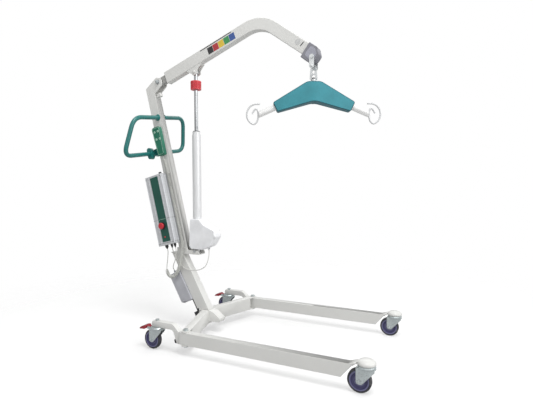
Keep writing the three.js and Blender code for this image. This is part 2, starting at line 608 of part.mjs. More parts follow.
const capHalf = CAP_WIDTH / 2;
const capOutline = rounded([
  [...onOuter(-24, 36), 5], [...onOuter(-22, -47), 5], [...onOuter(58, -47), 14],
  [...onOuter(82, -24), 14], [...onOuter(82, 10), 14], [...onOuter(50, 36), 20],
]);
const hangerPin = onOuter(HANGER_AHEAD, -HANGER_BELOW);
const pocket = plate([
  onOuter(-60, -BOOM_HALF - GAP), onOuter(GAP, -BOOM_HALF - GAP),
  onOuter(GAP, BOOM_HALF + GAP), onOuter(-60, BOOM_HALF + GAP),
], -BOOM_WIDTH / 2 - GAP, BOOM_WIDTH / 2 + GAP);
const endCap = cut(
  plate(capOutline, -capHalf, capHalf), pocket,
  barY(hangerPin[0], hangerPin[1], -60, 60, 6 + BORE_PLAY));
add(model, 'boom_end_cap', endCap, 'cap');

// ---------------------------------------------------------------- hanger
const hangerX = hangerPin[0];
const linkZ = hangerPin[1] - HANGER_DROP;
const crown = hangerPin[1] - CROWN_DROP;
const armEnd = crown - ARM_DROP;
const legIn = capHalf + 1;
const legOut = legIn + 4;
add(model, 'hanger_pin', join(
  barY(hangerX, hangerPin[1], -legOut - 4, legOut + 4, 6),
  barY(hangerX, hangerPin[1], legOut + GAP, legOut + 5, 10, 12),
  barY(hangerX, hangerPin[1], -legOut - 5, -legOut - GAP, 10, 12)), 'steel');
const shackleLeg = rounded([
  [hangerX - 13, linkZ - 12, 12], [hangerX + 13, linkZ - 12, 12],
  [hangerX + 13, hangerPin[1] + 13, 12], [hangerX - 13, hangerPin[1] + 13, 12],
]);
const shackle = cut(
  join(plate(shackleLeg, legIn, legOut), plate(shackleLeg, -legOut, -legIn), barY(hangerX, linkZ,
    -legOut - 3, legOut + 3, 6)),
  barY(hangerX, hangerPin[1], -60, 60, 6 + BORE_PLAY));
add(model, 'hanger_shackle', shackle, 'steel');

const windowAt = (z, halfX, halfZ, low) => rounded([
  [hangerX - halfX, z - halfZ, low], [hangerX + halfX, z - halfZ, low],
  [hangerX + halfX, z + halfZ, halfX - 1], [hangerX - halfX, z + halfZ, halfX - 1],
]);
const strapBottom = linkZ - 68;
const boltSeat = strapBottom + 8;
const strapOutline = rounded([
  [hangerX - 20, strapBottom, 8], [hangerX + 20, strapBottom, 8], [hangerX + 17, linkZ - 20, 30],
  [hangerX + 12, linkZ + 10, 9], [hangerX - 12, linkZ + 10, 9], [hangerX - 17, linkZ - 20, 30],
]);
const strap = cut(
  join(plate(strapOutline, -4, 4), barZ(hangerX, 0, strapBottom - 2, boltSeat, 11)),
  plate(windowAt(linkZ - 24, 7, 10, 6), -20, 20),
  plate(windowAt(boltSeat + 11, 9.5, 11, 1.5), -20, 20),
  barY(hangerX, linkZ, -20, 20, 6 + BORE_PLAY),
  barZ(hangerX, 0, strapBottom - 10, boltSeat + 4, 6 + BORE_PLAY));
add(model, 'hanger_strap', strap, 'steel');
add(model, 'swivel_bolt', join(
  barZ(hangerX, 0, crown - 5, boltSeat + 2, 6),
  barZ(hangerX, 0, boltSeat + GAP, boltSeat + 7, 7.8, 12)), 'black');

// ---------------------------------------------------------------- spreader bar
const barFrame = new THREE.Group();
barFrame.position.set(hangerX, 0, 0);
barFrame.rotation.z = BAR_TURN * DEG;
model.add(barFrame);
const bossTop = strapBottom - 6;
function barArms(radius, past, reach) {
  const drop = (crown - armEnd) / BAR_REACH;
  return SIDES.map(([, side]) => bar(
    [-side * past, 0, crown + past * drop], [side * reach, 0, crown - reach * drop], radius, 16));
}
const spreaderBar = cut(
  join(...barArms(BAR_RADIUS, 4, BAR_REACH + 12), barZ(0, 0, crown - 14, bossTop, 15, 16)),
  box(BAR_REACH, BAR_REACH + 60, -40, 40, armEnd - 60, armEnd + 60),
  box(-BAR_REACH - 60, -BAR_REACH, -40, 40, armEnd - 60, armEnd + 60),
  barZ(0, 0, crown - 5 - GAP, bossTop + 5, 6 + BORE_PLAY));
add(barFrame, 'spreader_bar', spreaderBar, 'frame');
const coverOutline = rounded([
  [0, crown - 58, 90], [183, crown - 109, 10], [206, crown - 58, 10],
  [0, crown + 45, 60], [-206, crown - 58, 10], [-183, crown - 109, 10],
], 4);
const spreaderCover = cut(
  plate(coverOutline, -25, 25), ...barArms(BAR_RADIUS + GAP, 5, BAR_REACH),
  barZ(0, 0, crown - 14 - GAP, crown + 87, 15 + GAP, 16));
add(barFrame, 'spreader_cover', spreaderCover, 'teal');

const hookPath = [
  [30, 3], [21, 18], [11, 28], [4, 22], [0, 6], [1, -22], [9, -41], [22, -49], [38, -42],
  [51, -26], [57, -5], [53, 19], [38, 41], [16, 51], [-10, 52],
];
for (const [label, side] of [['front', 1], ['rear', -1]]) {
  const lift = armEnd;
  const points = hookPath.map(([u, v]) => [side * (BAR_REACH + 3 * GAP + HOOK_WIRE + u), 0, lift + v]);
  add(barFrame, `hook_${label}`, sweep(smooth(points), HOOK_WIRE, 8, 26), 'steel');
}

// ---------------------------------------------------------------- lift actuator
const HOUSING_TOP = 645;
const housingOutline = rounded([
  [FOOT_X - 30, HOUSING_TOP, 8], [FOOT_X - 38, 487, 10], [FOOT_X - 24, FOOT_Z + 11, 8],
  [FOOT_X + 55, FOOT_Z + 11, 10], [FOOT_X + 110, 492, 16], [FOOT_X + 143, 545, 20],
  [FOOT_X + 130, 584, 18], [FOOT_X + 62, 614, 14], [FOOT_X + 32, HOUSING_TOP, 8],
]);
const footLug = plate(rounded([
  [FOOT_X - 12, FOOT_Z - 12, 11], [FOOT_X + 12, FOOT_Z - 12, 11], [FOOT_X + 12, FOOT_Z + 16],
  [FOOT_X - 12, FOOT_Z + 16],
]), -9, 9);
const glandX = FOOT_X + 93;
const LEAD_EXIT_Z = 470;
const liftHousing = cut(
  join(plate(housingOutline, -34, 34), footLug, barZ(glandX, -20, LEAD_EXIT_Z, 496, 5.5, 10)),
  barY(FOOT_X, FOOT_Z, -20, 20, 5 + BORE_PLAY));
add(model, 'lift_actuator_housing', liftHousing, 'housing');
const liftTube = cut(
  join(
    barZ(FOOT_X, 0, HOUSING_TOP + GAP, LIFT_TUBE_TOP - 16, LIFT_TUBE_RADIUS, 20),
    barZ(FOOT_X, 0, LIFT_TUBE_TOP - 17, LIFT_TUBE_TOP, LIFT_TUBE_RADIUS - 3, 20)),
  barZ(FOOT_X, 0, HOUSING_TOP + 12, LIFT_TUBE_TOP + 5, ROD_RADIUS + BORE_PLAY, 16));
add(model, 'lift_actuator_tube', liftTube, 'silver');
const liftRod = join(
  barZ(FOOT_X, 0, LIFT_TUBE_TOP - ROD_INSIDE, ROD_EYE_Z - 8, ROD_RADIUS, 16),
  barY(FOOT_X, ROD_EYE_Z, -9, 9, 14, 20));
add(model, 'lift_rod', liftRod, 'steel');
const collar = cut(
  barZ(FOOT_X, 0, ROD_EYE_Z - 100, ROD_EYE_Z - 51, COLLAR_RADIUS, 24),
  barZ(FOOT_X, 0, ROD_EYE_Z - 112, ROD_EYE_Z - 42, ROD_RADIUS + BORE_PLAY, 16));
add(model, 'lowering_collar', collar, 'red');

// ---------------------------------------------------------------- leg spreading drive
const driveFrame = new THREE.Group();
driveFrame.position.set(LOWER_FRONT_X - lowerSpan, 0, lowerBase);
driveFrame.rotation.y = -LOWER_LEAN * DEG;
model.add(driveFrame);
driveFrame.updateMatrixWorld();
const DRIVE_AXIS = -16;               // rod axis behind the rear face of the lower mast
const DRIVE_LOW = 62;
const DRIVE_HIGH = 250;
const DRIVE_STROKE = 29;
const DRIVE_ROD_TOP = 145;
const TIE_EYE_IN = 2.3;               // eye tops over the tie's middle, clear when it tilts
const TIE_EYE_OUT = 5.05;
const driveOutline = rounded([
  [-GAP, DRIVE_LOW], [-GAP, DRIVE_HIGH - 12], [-18, DRIVE_HIGH, 6], [-78, DRIVE_HIGH, 10],
  [-78, DRIVE_LOW + 8, 16], [-56, DRIVE_LOW, 10],
]);
const legGland = [-40, -22];
const legDrive = cut(
  join(plate(driveOutline, -36, 36), barZ(legGland[0], legGland[1], DRIVE_HIGH - 4, DRIVE_HIGH + 12, 6, 10)),
  barZ(DRIVE_AXIS, 0, DRIVE_LOW - 5, DRIVE_ROD_TOP + DRIVE_STROKE + 3, 7 + BORE_PLAY));
add(driveFrame, 'leg_actuator_housing', legDrive, 'housing');
const blockAt = driveFrame.localToWorld(new THREE.Vector3(DRIVE_AXIS, 0, -24));
const TIE_IN_Y = 22;
const driveBlock = new THREE.BoxGeometry(24, 60, 24);
driveBlock.applyMatrix4(new THREE.Matrix4().makeRotationY(-LOWER_LEAN * DEG));
driveBlock.translate(blockAt.x, blockAt.y, blockAt.z);
const rodFrom = driveFrame.localToWorld(new THREE.Vector3(DRIVE_AXIS, 0, -20)).toArray();
const rodTo = driveFrame.localToWorld(new THREE.Vector3(DRIVE_AXIS, 0, DRIVE_ROD_TOP)).toArray();
let legRod = join(toSolid(driveBlock), bar(rodFrom, rodTo, 7));
for (const [, side] of SIDES) {
  legRod = join(
    legRod,
    barZ(blockAt.x, side * TIE_IN_Y, TIE_Z - 10, blockAt.z - 4, 4, 12),
    barZ(blockAt.x, side * TIE_IN_Y, TIE_Z - 12, TIE_Z - 8, 8, 12));
}
add(model, 'leg_actuator_rod', legRod, 'black');
for (const [label, side] of SIDES) {
  const inEnd = [blockAt.x, side * TIE_IN_Y, TIE_Z];
  const outEnd = [TIE_LUG[0], side * TIE_LUG[1], TIE_Z];
  const tie = cut(
    join(
      bar(inEnd, outEnd, 4.5, 10),
      barZ(inEnd[0], inEnd[1], TIE_Z - 6, TIE_Z + TIE_EYE_IN, 10),
      barZ(outEnd[0], outEnd[1], TIE_Z - 6, TIE_Z + TIE_EYE_OUT, 11, 16)),
    barZ(inEnd[0], inEnd[1], TIE_Z - 20, TIE_Z + 20, 6, 12),
    barZ(outEnd[0], outEnd[1], TIE_Z - 20, TIE_Z + 20, 8.5));
  add(model, `tie_rod_${label}`, tie, 'black');
}

// ---------------------------------------------------------------- handle
const HANDLE_LOW = 632;               // low bar's crossing, along the upper mast
const HANDLE_TOP = 831;               // top bar's crossing
const HANDLE_LOW_HALF = 276;
const HANDLE_TOP_HALF = 232;
const HANDLE_STANDOFF = 42;           // low bar behind the mast's rear face
const HANDLE_TOP_AHEAD = 16;          // top bar ahead of the mast's middle
const handleX = -mastHalf - HANDLE_STANDOFF;
const rise = Math.tan(HANDLE_ROLL * DEG);
const lowPoint = (y) => [handleX, y, HANDLE_LOW + y * rise];
const topPoint = (y) => [HANDLE_TOP_AHEAD, y, HANDLE_TOP + y * rise];
const handlePath = bent([
  topPoint(mastFaceY - 4), topPoint(HANDLE_TOP_HALF), lowPoint(HANDLE_LOW_HALF),
  lowPoint(-HANDLE_LOW_HALF), topPoint(-HANDLE_TOP_HALF), topPoint(4 - mastFaceY),
], 62);
const handleLoop = cut(
  sweep(handlePath, HANDLE_RADIUS, 8, 48),
  box(-60, 60, -mastFaceY - GAP, mastFaceY + GAP, HANDLE_TOP - 60, HANDLE_TOP + 60));
add(mastFrame, 'handle', handleLoop, 'handle');
const [, knobY, knobZ] = lowPoint(-50);
const saddle = plate(rounded([
  [-mastHalf - GAP, HANDLE_LOW - 20], [-mastHalf - GAP, HANDLE_LOW + 20],
  [handleX - 18, HANDLE_LOW + 18, 12], [handleX - 18, HANDLE_LOW - 18, 12],
]), -22, 22);
const knob = plate(rounded([
  [handleX - 16, knobZ - 34, 13], [handleX + 16, knobZ - 34, 13], [handleX + 16, knobZ + 34, 13],
  [handleX - 16, knobZ + 34, 13],
]), knobY - 13, knobY + 13);
const sleeve = bar(lowPoint(-50), lowPoint(26), HANDLE_RADIUS + 4, 12);
const clamp = cut(
  join(saddle, sleeve, knob),
  bar(lowPoint(-120), lowPoint(120), HANDLE_RADIUS + BORE_PLAY, 16));
add(mastFrame, 'handle_clamp', clamp, 'handle');

// ---------------------------------------------------------------- control box
const boxFar = -mastFaceY - 5;        // side towards the mast
const boxNear = boxFar - BOX_DEPTH;
const boxAhead = 3;
const boxBack = boxAhead - BOX_WIDTH;
const boxEnd = BOX_START + BOX_LENGTH;
const PLUGS = [
  { name: 'plug_handset', u: -86, y: -62, radius: 10 },
  { name: 'plug_lift', u: -58, y: -50, radius: 7 },
  { name: 'plug_legs', u: -28, y: -58, radius: 8 },
];
const stopAt = { u: -60, z: BOX_START + 114 };
const shell = cut(
  box(boxBack, boxAhead, boxNear, boxFar, BOX_START, boxEnd),
  box(boxBack + 4, boxAhead - 4, boxNear + 4, boxFar - 4, BOX_START + 4, boxEnd - 4),
  barY(stopAt.u, stopAt.z, boxNear - 5, boxNear + 6, 10.8, 20),
  ...PLUGS.map(({ u, y }) => barZ(u, y, BOX_START - 3, BOX_START + 6, 4, 8)));
add(mastFrame, 'control_box', shell, 'silver');
add(mastFrame, 'box_mount', box(-mastHalf + 2, boxAhead - 1, boxFar + GAP, -mastFaceY - GAP,
  BOX_START + 10, boxEnd - 10), 'black');
const labelPlate = cut(
  box(boxBack + 38, boxBack + 95, boxNear - GAP - 1.2, boxNear - GAP, BOX_START + 20, boxEnd - 12),
  barY(stopAt.u, stopAt.z, boxNear - 5, boxNear + 5, 10.8, 20));
add(mastFrame, 'box_label', labelPlate, 'label');
add(mastFrame, 'emergency_stop', join(
  barY(stopAt.u, stopAt.z, boxNear - 14, boxNear + 3, 10, 20),
  bar([stopAt.u, boxNear - 12, stopAt.z], [stopAt.u, boxNear - 24, stopAt.z], 19, 24, 16)), 'red');
const plugLength = 22;
for (const { name, u, y, radius } of PLUGS) {
  const plug = join(
    barZ(u, y, BOX_START - GAP - 12, BOX_START - GAP, radius, 12),
    bar([u, y, BOX_START - GAP - 11], [u, y, BOX_START - GAP - plugLength], radius - 1.5, 12, 4));
  add(mastFrame, name, plug, 'black');
}

// ---------------------------------------------------------------- handset
const handsetLow = 590;
const handsetHigh = 765;
const handsetNear = -62;
const handsetOutline = rounded([
  [-12, handsetLow, 10], [35, handsetLow, 10], [38, handsetHigh, 12], [-22, handsetHigh, 12],
]);
const keys = [
  { name: 'button_up', u: -3, z: 735 }, { name: 'button_down', u: 22, z: 735 },
  { name: 'button_legs_open', u: 0, z: 690 }, { name: 'button_legs_close', u: 25, z: 690 },
];
const handset = cut(
  join(
    plate(handsetOutline, handsetNear, -36),
    box(-2, 20, -37, -mastFaceY - GAP, 690, 750)),
  ...keys.map(({ u, z }) => barY(u, z, handsetNear - 5, handsetNear + 9, 7.4)));
add(mastFrame, 'handset', handset, 'handset');
for (const { name, u, z } of keys) {
  add(mastFrame, name, barY(u, z, handsetNear - 1.8, handsetNear + 6.5, 7), 'key');
}

// ---------------------------------------------------------------- cords
const CORD_GAP = 1;                   // a cord's square end stands off its tilted plug
const plugEnd = (plug, drop) => mastPoint(plug.u, plug.y, BOX_START - GAP - plugLength - CORD_GAP - drop);
const curlyRoute = [
  mastPoint(12, -48, handsetLow - CORD_GAP), mastPoint(12.5, -48, handsetLow - 16), mastPoint(16, -44, 530),
  mastPoint(17, -43, 440), mastPoint(17, -43, 320), mastPoint(17, -43, 200), mastPoint(17, -44, 100),
  [-591, -45, 500], [-597, -46, 440], [-608, -48, 378], [-626, -51, 331],
  [-650, -54, 303], [-674, -57, 303], [-689, -60, 322], [-694, -61, 346],
];
const tailRoute = [[-694, -61, 340], [-693, -61, 365],
  [-687, -62, 400], plugEnd(PLUGS[0], 14), plugEnd(PLUGS[0], 0)];
add(model, 'handset_cord', join(
  sweep(smooth(curlyRoute), CURLY_RADIUS, 8, 32),
  sweep(smooth(tailRoute), LEAD_RADIUS, 8, 12)), 'lead');
const liftRoute = [
  [glandX, -20, LEAD_EXIT_Z - CORD_GAP], [glandX, -20, 450], [-428, -23, 410], [-445, -27, 374],
  [-480, -30, 354],
  [-520, -31, 345], [-556, -31, 347], [-592, -31, 357], [-622, -33, 380], [-640, -39, 410],
  plugEnd(PLUGS[1], 16), plugEnd(PLUGS[1], 0),
];
add(model, 'lift_lead', sweep(smooth(liftRoute), LEAD_RADIUS, 8, 28), 'lead');
const glandEnd = (rise) => driveFrame.localToWorld(new THREE.Vector3(legGland[0], legGland[1],
  DRIVE_HIGH + 12 + rise)).toArray();
const legRoute = [
  plugEnd(PLUGS[2], 0), plugEnd(PLUGS[2], 16), [-633, -56, 420], [-643, -50, 394], [-659, -40, 376],
  glandEnd(18), glandEnd(CORD_GAP),
];
add(model, 'leg_lead', sweep(smooth(legRoute), LEAD_RADIUS, 8, 18), 'lead');

// ---------------------------------------------------------------- placing
// The origin is under the middle of the object, cords and plugs aside.
model.updateMatrixWorld(true);
const bounds = new THREE.Box3();
const CORD_PIECES = ['handset_cord', 'lift_lead', 'leg_lead', ...PLUGS.map(({ name }) => name)];
model.traverse((node) => {
  if (node.isMesh && !CORD_PIECES.includes(node.name)) bounds.expandByObject(node, true);
});
const middle = bounds.getCenter(new THREE.Vector3());
model.position.set(-middle.x, -middle.y, -bounds.min.z);

// Joint anchors, for whoever poses the model.
const hingeLocal = [TIE_LUG[0] - HINGE_X, TIE_LUG[1] - LEG_Y];
const spreadRad = LEG_SPREAD * DEG;
const lugOpen = [
  HINGE_X + hingeLocal[0] * Math.cos(spreadRad) - hingeLocal[1] * Math.sin(spreadRad),
  LEG_Y + hingeLocal[0] * Math.sin(spreadRad) + hingeLocal[1] * Math.cos(spreadRad),
];
const tieRest = new THREE.Vector3(TIE_LUG[0] - blockAt.x, TIE_LUG[1] - TIE_IN_Y, 0);
const driveDir = new THREE.Vector3(-Math.sin(LOWER_LEAN * DEG), 0, Math.cos(LOWER_LEAN * DEG));
const tieAt = (travel) => new THREE.Vector3(lugOpen[0] - blockAt.x, lugOpen[1] - TIE_IN_Y, 0)
  .addScaledVector(driveDir, -travel);
let driveTravel = 0;
for (let step = 40; step > 1e-4; step /= 2) {
  if (tieAt(driveTravel + step).length() < tieRest.length()) driveTravel += step;
}
const tieOpen = tieAt(driveTravel);
model.userData.anchors = {
  shift: model.position.toArray(),
  boomPivot: [PIVOT_X, 0, PIVOT_Z],
  footPin: [FOOT_X, 0, FOOT_Z],
  rodEye: [ROD_EYE_X, 0, ROD_EYE_Z],
  hangerPin: [hangerX, 0, hangerPin[1]],
  linkPin: [hangerX, 0, linkZ],
  swivel: [hangerX, 0, boltSeat],
  hinge: [HINGE_X, LEG_Y, LEG_BOTTOM],
  frontSwivel: [FRONT_SWIVEL_X, LEG_Y, MOUNT_PLANE],
  rearSwivel: [REAR_SWIVEL_X, LEG_Y, MOUNT_PLANE],
  frontAxle: [FRONT_SWIVEL_X - CASTOR_TRAIL, LEG_Y, WHEEL_RADIUS],
  rearAxle: [REAR_SWIVEL_X - CASTOR_TRAIL, LEG_Y, WHEEL_RADIUS],
  pedalPin: [REAR_SWIVEL_X - CASTOR_TRAIL - 21, LEG_Y, 2 * WHEEL_RADIUS - 2 + FORK_CHEEK + 7],
  driveDir: driveDir.toArray(),
  driveTravel,
  tieIn: [blockAt.x, TIE_IN_Y, TIE_Z],
  tieAxis: tieRest.clone().cross(tieOpen).normalize().toArray(),
  tieTurn: tieRest.angleTo(tieOpen) / DEG,
  mastAxis: new THREE.Vector3(0, 0, 1).applyEuler(mastFrame.rotation).toArray(),
  stopCentre: mastPoint(stopAt.u, boxNear, stopAt.z),
  mastFront: mastPoint(mastHalf, 0, 300),
};

export default model;
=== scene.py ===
"""Looks of a mobile patient lift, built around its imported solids.

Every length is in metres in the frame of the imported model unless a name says
millimetres. Each sub-assembly is a class that builds its pieces and dresses
them in its finishes.
"""

from __future__ import annotations

import json
import logging
import math
from dataclasses import dataclass
from enum import Enum
from typing import Callable, Iterable, Optional, Sequence

import bmesh
import bpy
from mathutils import Matrix, Vector

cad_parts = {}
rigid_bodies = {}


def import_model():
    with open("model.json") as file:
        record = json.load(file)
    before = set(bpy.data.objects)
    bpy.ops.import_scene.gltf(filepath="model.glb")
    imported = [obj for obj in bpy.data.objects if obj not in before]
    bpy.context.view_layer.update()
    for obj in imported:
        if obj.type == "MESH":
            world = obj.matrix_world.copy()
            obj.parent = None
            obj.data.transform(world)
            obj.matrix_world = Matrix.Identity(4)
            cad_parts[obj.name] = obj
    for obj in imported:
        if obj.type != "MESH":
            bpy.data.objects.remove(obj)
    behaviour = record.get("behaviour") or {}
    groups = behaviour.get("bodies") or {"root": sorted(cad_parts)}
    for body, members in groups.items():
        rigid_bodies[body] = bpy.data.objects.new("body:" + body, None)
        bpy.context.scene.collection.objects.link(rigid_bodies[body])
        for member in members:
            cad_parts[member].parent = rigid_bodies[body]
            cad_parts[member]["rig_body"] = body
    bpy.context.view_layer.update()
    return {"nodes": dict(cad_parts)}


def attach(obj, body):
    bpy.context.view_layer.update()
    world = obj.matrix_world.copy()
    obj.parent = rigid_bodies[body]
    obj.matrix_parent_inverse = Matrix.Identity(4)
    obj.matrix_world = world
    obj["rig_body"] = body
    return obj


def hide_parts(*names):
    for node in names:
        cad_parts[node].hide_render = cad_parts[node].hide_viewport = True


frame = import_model()

LOG = logging.getLogger("lift")
MM = 0.001
SHIFT_X = 140.4825  # millimetres from the maker's datum to the frame's origin
BOOM_PIVOT = (-776.0, 1462.0)  # X and Z in datum millimetres
BOX_FOOT = 67.0  # millimetres along the mast's axis
SIDES = ((-1, "right"), (1, "left"))
WELD = 3e-6  # metres under which two corners of a solid are one
MOST_CORNERS = 8  # faces with more corners than this are cut into triangles
TURNED_SHARP = 30.0  # degrees over which an edge of a turned piece stays sharp


# ------------------------------------------------------------------ places


def at(x: float, y: float, z: float) -> Vector:
    """Turns a place in datum millimetres into one in the frame.

    Args:
        x: Distance ahead of the datum.
        y: Distance to the left of the middle.
        z: Height over the floor.

    Returns:
        The place in metres.
    """
    return Vector(((x + SHIFT_X) * MM, y * MM, z * MM))


@dataclass(frozen=True)
class Tilted:
    """A frame that leans back about the Y axis, for pieces laid out on a mast."""

    origin: tuple[float, float, float]
    lean: float

    def matrix(self) -> Matrix:
        """The transform from local millimetres to metres in the frame."""
        move = Matrix.Translation(at(*self.origin))
        turn = Matrix.Rotation(math.radians(-self.lean), 4, "Y")
        return move @ turn @ Matrix.Scale(MM, 4)

    def point(self, u: float, y: float, v: float) -> Vector:
        """A place ahead of, beside and along the leaning axis."""
        return self.matrix() @ Vector((u, y, v))

    def direction(self, u: float, y: float, v: float) -> Vector:
        """A unit direction given in the leaning frame."""
        return (self.matrix().to_3x3() @ Vector((u, y, v))).normalized()


MAST = Tilted((-593.0, 0.0, 443.0), 14.0)


def srgb(red: int, green: int, blue: int) -> tuple[float, float, float, float]:
    """Turns a colour as it is seen into scene-linear values.

    Args:
        red: The red channel, from 0 to 255.
        green: The green channel.
        blue: The blue channel.

    Returns:
        The colour with full cover as its fourth value.
    """

    def linear(value: int) -> float:
        """One channel, decoded."""
        part = value / 255
        return part / 12.92 if part <= 0.04045 else ((part + 0.055) / 1.055) ** 2.4

    return (linear(red), linear(green), linear(blue), 1.0)


def scaled(colour: Sequence[float], factor: float) -> tuple[float, ...]:
    """A lighter or darker shade of a colour."""
    return (*(min(1.0, c * factor) for c in colour[:3]), 1.0)


# ------------------------------------------------------------------ finishes


class Graph:
    """The node tree of one material, with short ways to fill it."""

    def __init__(self, name: str) -> None:
        """Starts a material with only its principled shader.

        Args:
            name: Name of the material.
        """
        self.material = bpy.data.materials.new(name)
        self.material.use_nodes = True
        self.tree = self.material.node_tree
        self.shader = self.tree.nodes["Principled BSDF"]
        self.coords = self.tree.nodes.new("ShaderNodeTexCoord").outputs["Object"]

    def add(self, kind: str, **inputs: object) -> bpy.types.Node:
        """Adds a node and sets its inputs by name.

        Args:
            kind: Type of the node.
            inputs: A value or a socket for each input.

        Returns:
            The node.
        """
        node = self.tree.nodes.new(kind)
        for name, value in inputs.items():
            socket = node.inputs[name.replace("_", " ")]
            if isinstance(value, bpy.types.NodeSocket):
                self.tree.links.new(value, socket)
            else:
                socket.default_value = value
        return node

    def stretch(self, x: float, y: float, z: float) -> bpy.types.NodeSocket:
        """Object coordinates scaled by a factor along each axis."""
        return self.add("ShaderNodeMapping", Vector=self.coords, Scale=(x, y, z)).outputs["Vector"]

    def noise(
        self, scale: float, detail: float = 3.0, vector: Optional[bpy.types.NodeSocket] = None,
    ) -> bpy.types.NodeSocket:
        """Soft noise over the piece."""
        node = self.add("ShaderNodeTexNoise", Vector=vector or self.coords, Scale=scale, Detail=detail)
        return node.outputs["Fac"]

    def cells(self, scale: float) -> bpy.types.NodeSocket:
        """Distance to the nearest of many scattered points."""
        return self.add("ShaderNodeTexVoronoi", Vector=self.coords, Scale=scale).outputs["Distance"]

    def ramp(
        self, factor: bpy.types.NodeSocket, stops: Sequence[tuple[float, Sequence[float]]],
    ) -> bpy.types.NodeSocket:
        """A colour ramp.

        Args:
            factor: What runs along it.
            stops: Pairs of place and colour.

        Returns:
            The colour.
        """
        node = self.add("ShaderNodeValToRGB", Fac=factor)
        elements = node.color_ramp.elements
        while len(elements) < len(stops):
            elements.new(0.5)
        for element, (place, colour) in zip(elements, stops):
            element.position = place
            element.color = colour
        return node.outputs["Color"]

    def grey(
        self, factor: bpy.types.NodeSocket, low: float, high: float, start: float = 0.3, end: float = 0.7,
    ) -> bpy.types.NodeSocket:
        """A value that follows a factor between two limits.

        Args:
            factor: What it follows.
            low: Its value where the factor is at start.
            high: Its value where the factor is at end.
            start: The factor's lower limit.
            end: The factor's upper limit.

        Returns:
            The value.
        """
        node = self.add("ShaderNodeMapRange", Value=factor)
        limits = {"From Min": start, "From Max": end, "To Min": low, "To Max": high}
        for socket, value in limits.items():
            node.inputs[socket].default_value = value
        return node.outputs["Result"]

    def mix(self, factor: object, first: object, second: object) -> bpy.types.NodeSocket:
        """A blend of two colours.

        Args:
            factor: Share of the second one, as a socket or a number.
            first: The first colour, as a socket or numbers.
            second: The second colour.

        Returns:
            The blended colour.
        """
        node = self.tree.nodes.new("ShaderNodeMix")
        node.data_type = "RGBA"
        factor_in, first_in, second_in = node.inputs[0], node.inputs[6], node.inputs[7]
        for socket, value in ((factor_in, factor), (first_in, first), (second_in, second)):
            if isinstance(value, bpy.types.NodeSocket):
                self.tree.links.new(value, socket)
            else:
                socket.default_value = value
        return node.outputs[2]

    def colour(self, value: bpy.types.NodeSocket) -> None:
        """Feeds the base colour."""
        self.tree.links.new(value, self.shader.inputs["Base Color"])

    def roughness(self, value: bpy.types.NodeSocket) -> None:
        """Feeds the roughness."""
        self.tree.links.new(value, self.shader.inputs["Roughness"])

    def bump(self, height: bpy.types.NodeSocket, strength: float, distance: float) -> None:
        """Raises the surface by a height."""
        node = self.add("ShaderNodeBump", Height=height, Strength=strength, Distance=distance)
        self.tree.links.new(node.outputs["Normal"], self.shader.inputs["Normal"])

    def fixed(self, **values: object) -> None:
        """Sets values that are the same all over on the shader's own sockets."""
        for name, value in values.items():
            self.shader.inputs[name.replace("_", " ")].default_value = value


@dataclass(frozen=True)
class Finish:
    """How one kind of surface looks."""

    name: str
    base: tuple[float, ...]
    rough: float = 0.5

    def paint(self, graph: Graph) -> None:
        """Fills the node tree. Each kind of finish has its own.

        Args:
            graph: The material's node tree.
        """
        raise NotImplementedError

    def material(self) -> bpy.types.Material:
        """Makes the material the first time that it is asked for.

        Returns:
            The material.
        """
        made = bpy.data.materials.get(self.name)
        if made is None:
            graph = Graph(self.name)
            self.paint(graph)
            made = graph.material
        return made


@dataclass(frozen=True)
class PowderCoat(Finish):
    """A baked coat on steel, with a faint orange-peel texture."""

    peel: float = 0.06
    grime: float = 0.93

    def paint(self, graph: Graph) -> None:
        """Clouds the colour a little and raises the peel.

        Args:
            graph: The material's node tree.
        """
        cloud = graph.noise(5.0, 4.0)
        graph.colour(graph.ramp(cloud, [(0.3, scaled(self.base, self.grime)), (0.62, self.base)]))
        graph.roughness(graph.grey(graph.noise(22.0), self.rough - 0.06, self.rough + 0.08))
        graph.bump(graph.noise(260.0, 1.0), self.peel, 0.0002)
        graph.fixed(Coat_Weight=0.25, Coat_Roughness=0.25)


@dataclass(frozen=True)
class Moulded(Finish):
    """Moulded plastic with a fine spark-eroded grain."""

    grain: float = 0.05
    grain_scale: float = 900.0
    gloss_coat: float = 0.0

    def paint(self, graph: Graph) -> None:
        """Lets the colour drift slightly and adds the grain.

        Args:
            graph: The material's node tree.
        """
        drift = graph.noise(14.0, 3.0)
        graph.colour(graph.ramp(drift, [(0.3, scaled(self.base, 0.88)), (0.65, scaled(self.base, 1.04))]))
        graph.roughness(graph.grey(graph.noise(60.0), self.rough - 0.05, self.rough + 0.07))
        graph.bump(graph.noise(self.grain_scale, 2.0), self.grain, 0.0003)
        graph.fixed(Coat_Weight=self.gloss_coat, Coat_Roughness=0.12)


@dataclass(frozen=True)
class Plated(Finish):
    """Zinc plate or galvanised steel, with cloudy spangle."""

    spangle: float = 160.0

    def paint(self, graph: Graph) -> None:
        """Breaks the metal into soft crystals.

        Args:
            graph: The material's node tree.
        """
        spots = graph.cells(self.spangle)
        cloud = graph.noise(18.0, 4.0)
        fleck = graph.ramp(spots, [(0.1, scaled(self.base, 0.8)), (0.7, scaled(self.base, 1.08))])
        graph.colour(graph.mix(graph.grey(cloud, 0.0, 0.55), fleck, scaled(self.base, 0.72)))
        graph.roughness(graph.grey(spots, self.rough - 0.08, self.rough + 0.12, 0.1, 0.7))
        graph.bump(spots, 0.08, 0.0002)
        graph.fixed(Metallic=0.85)


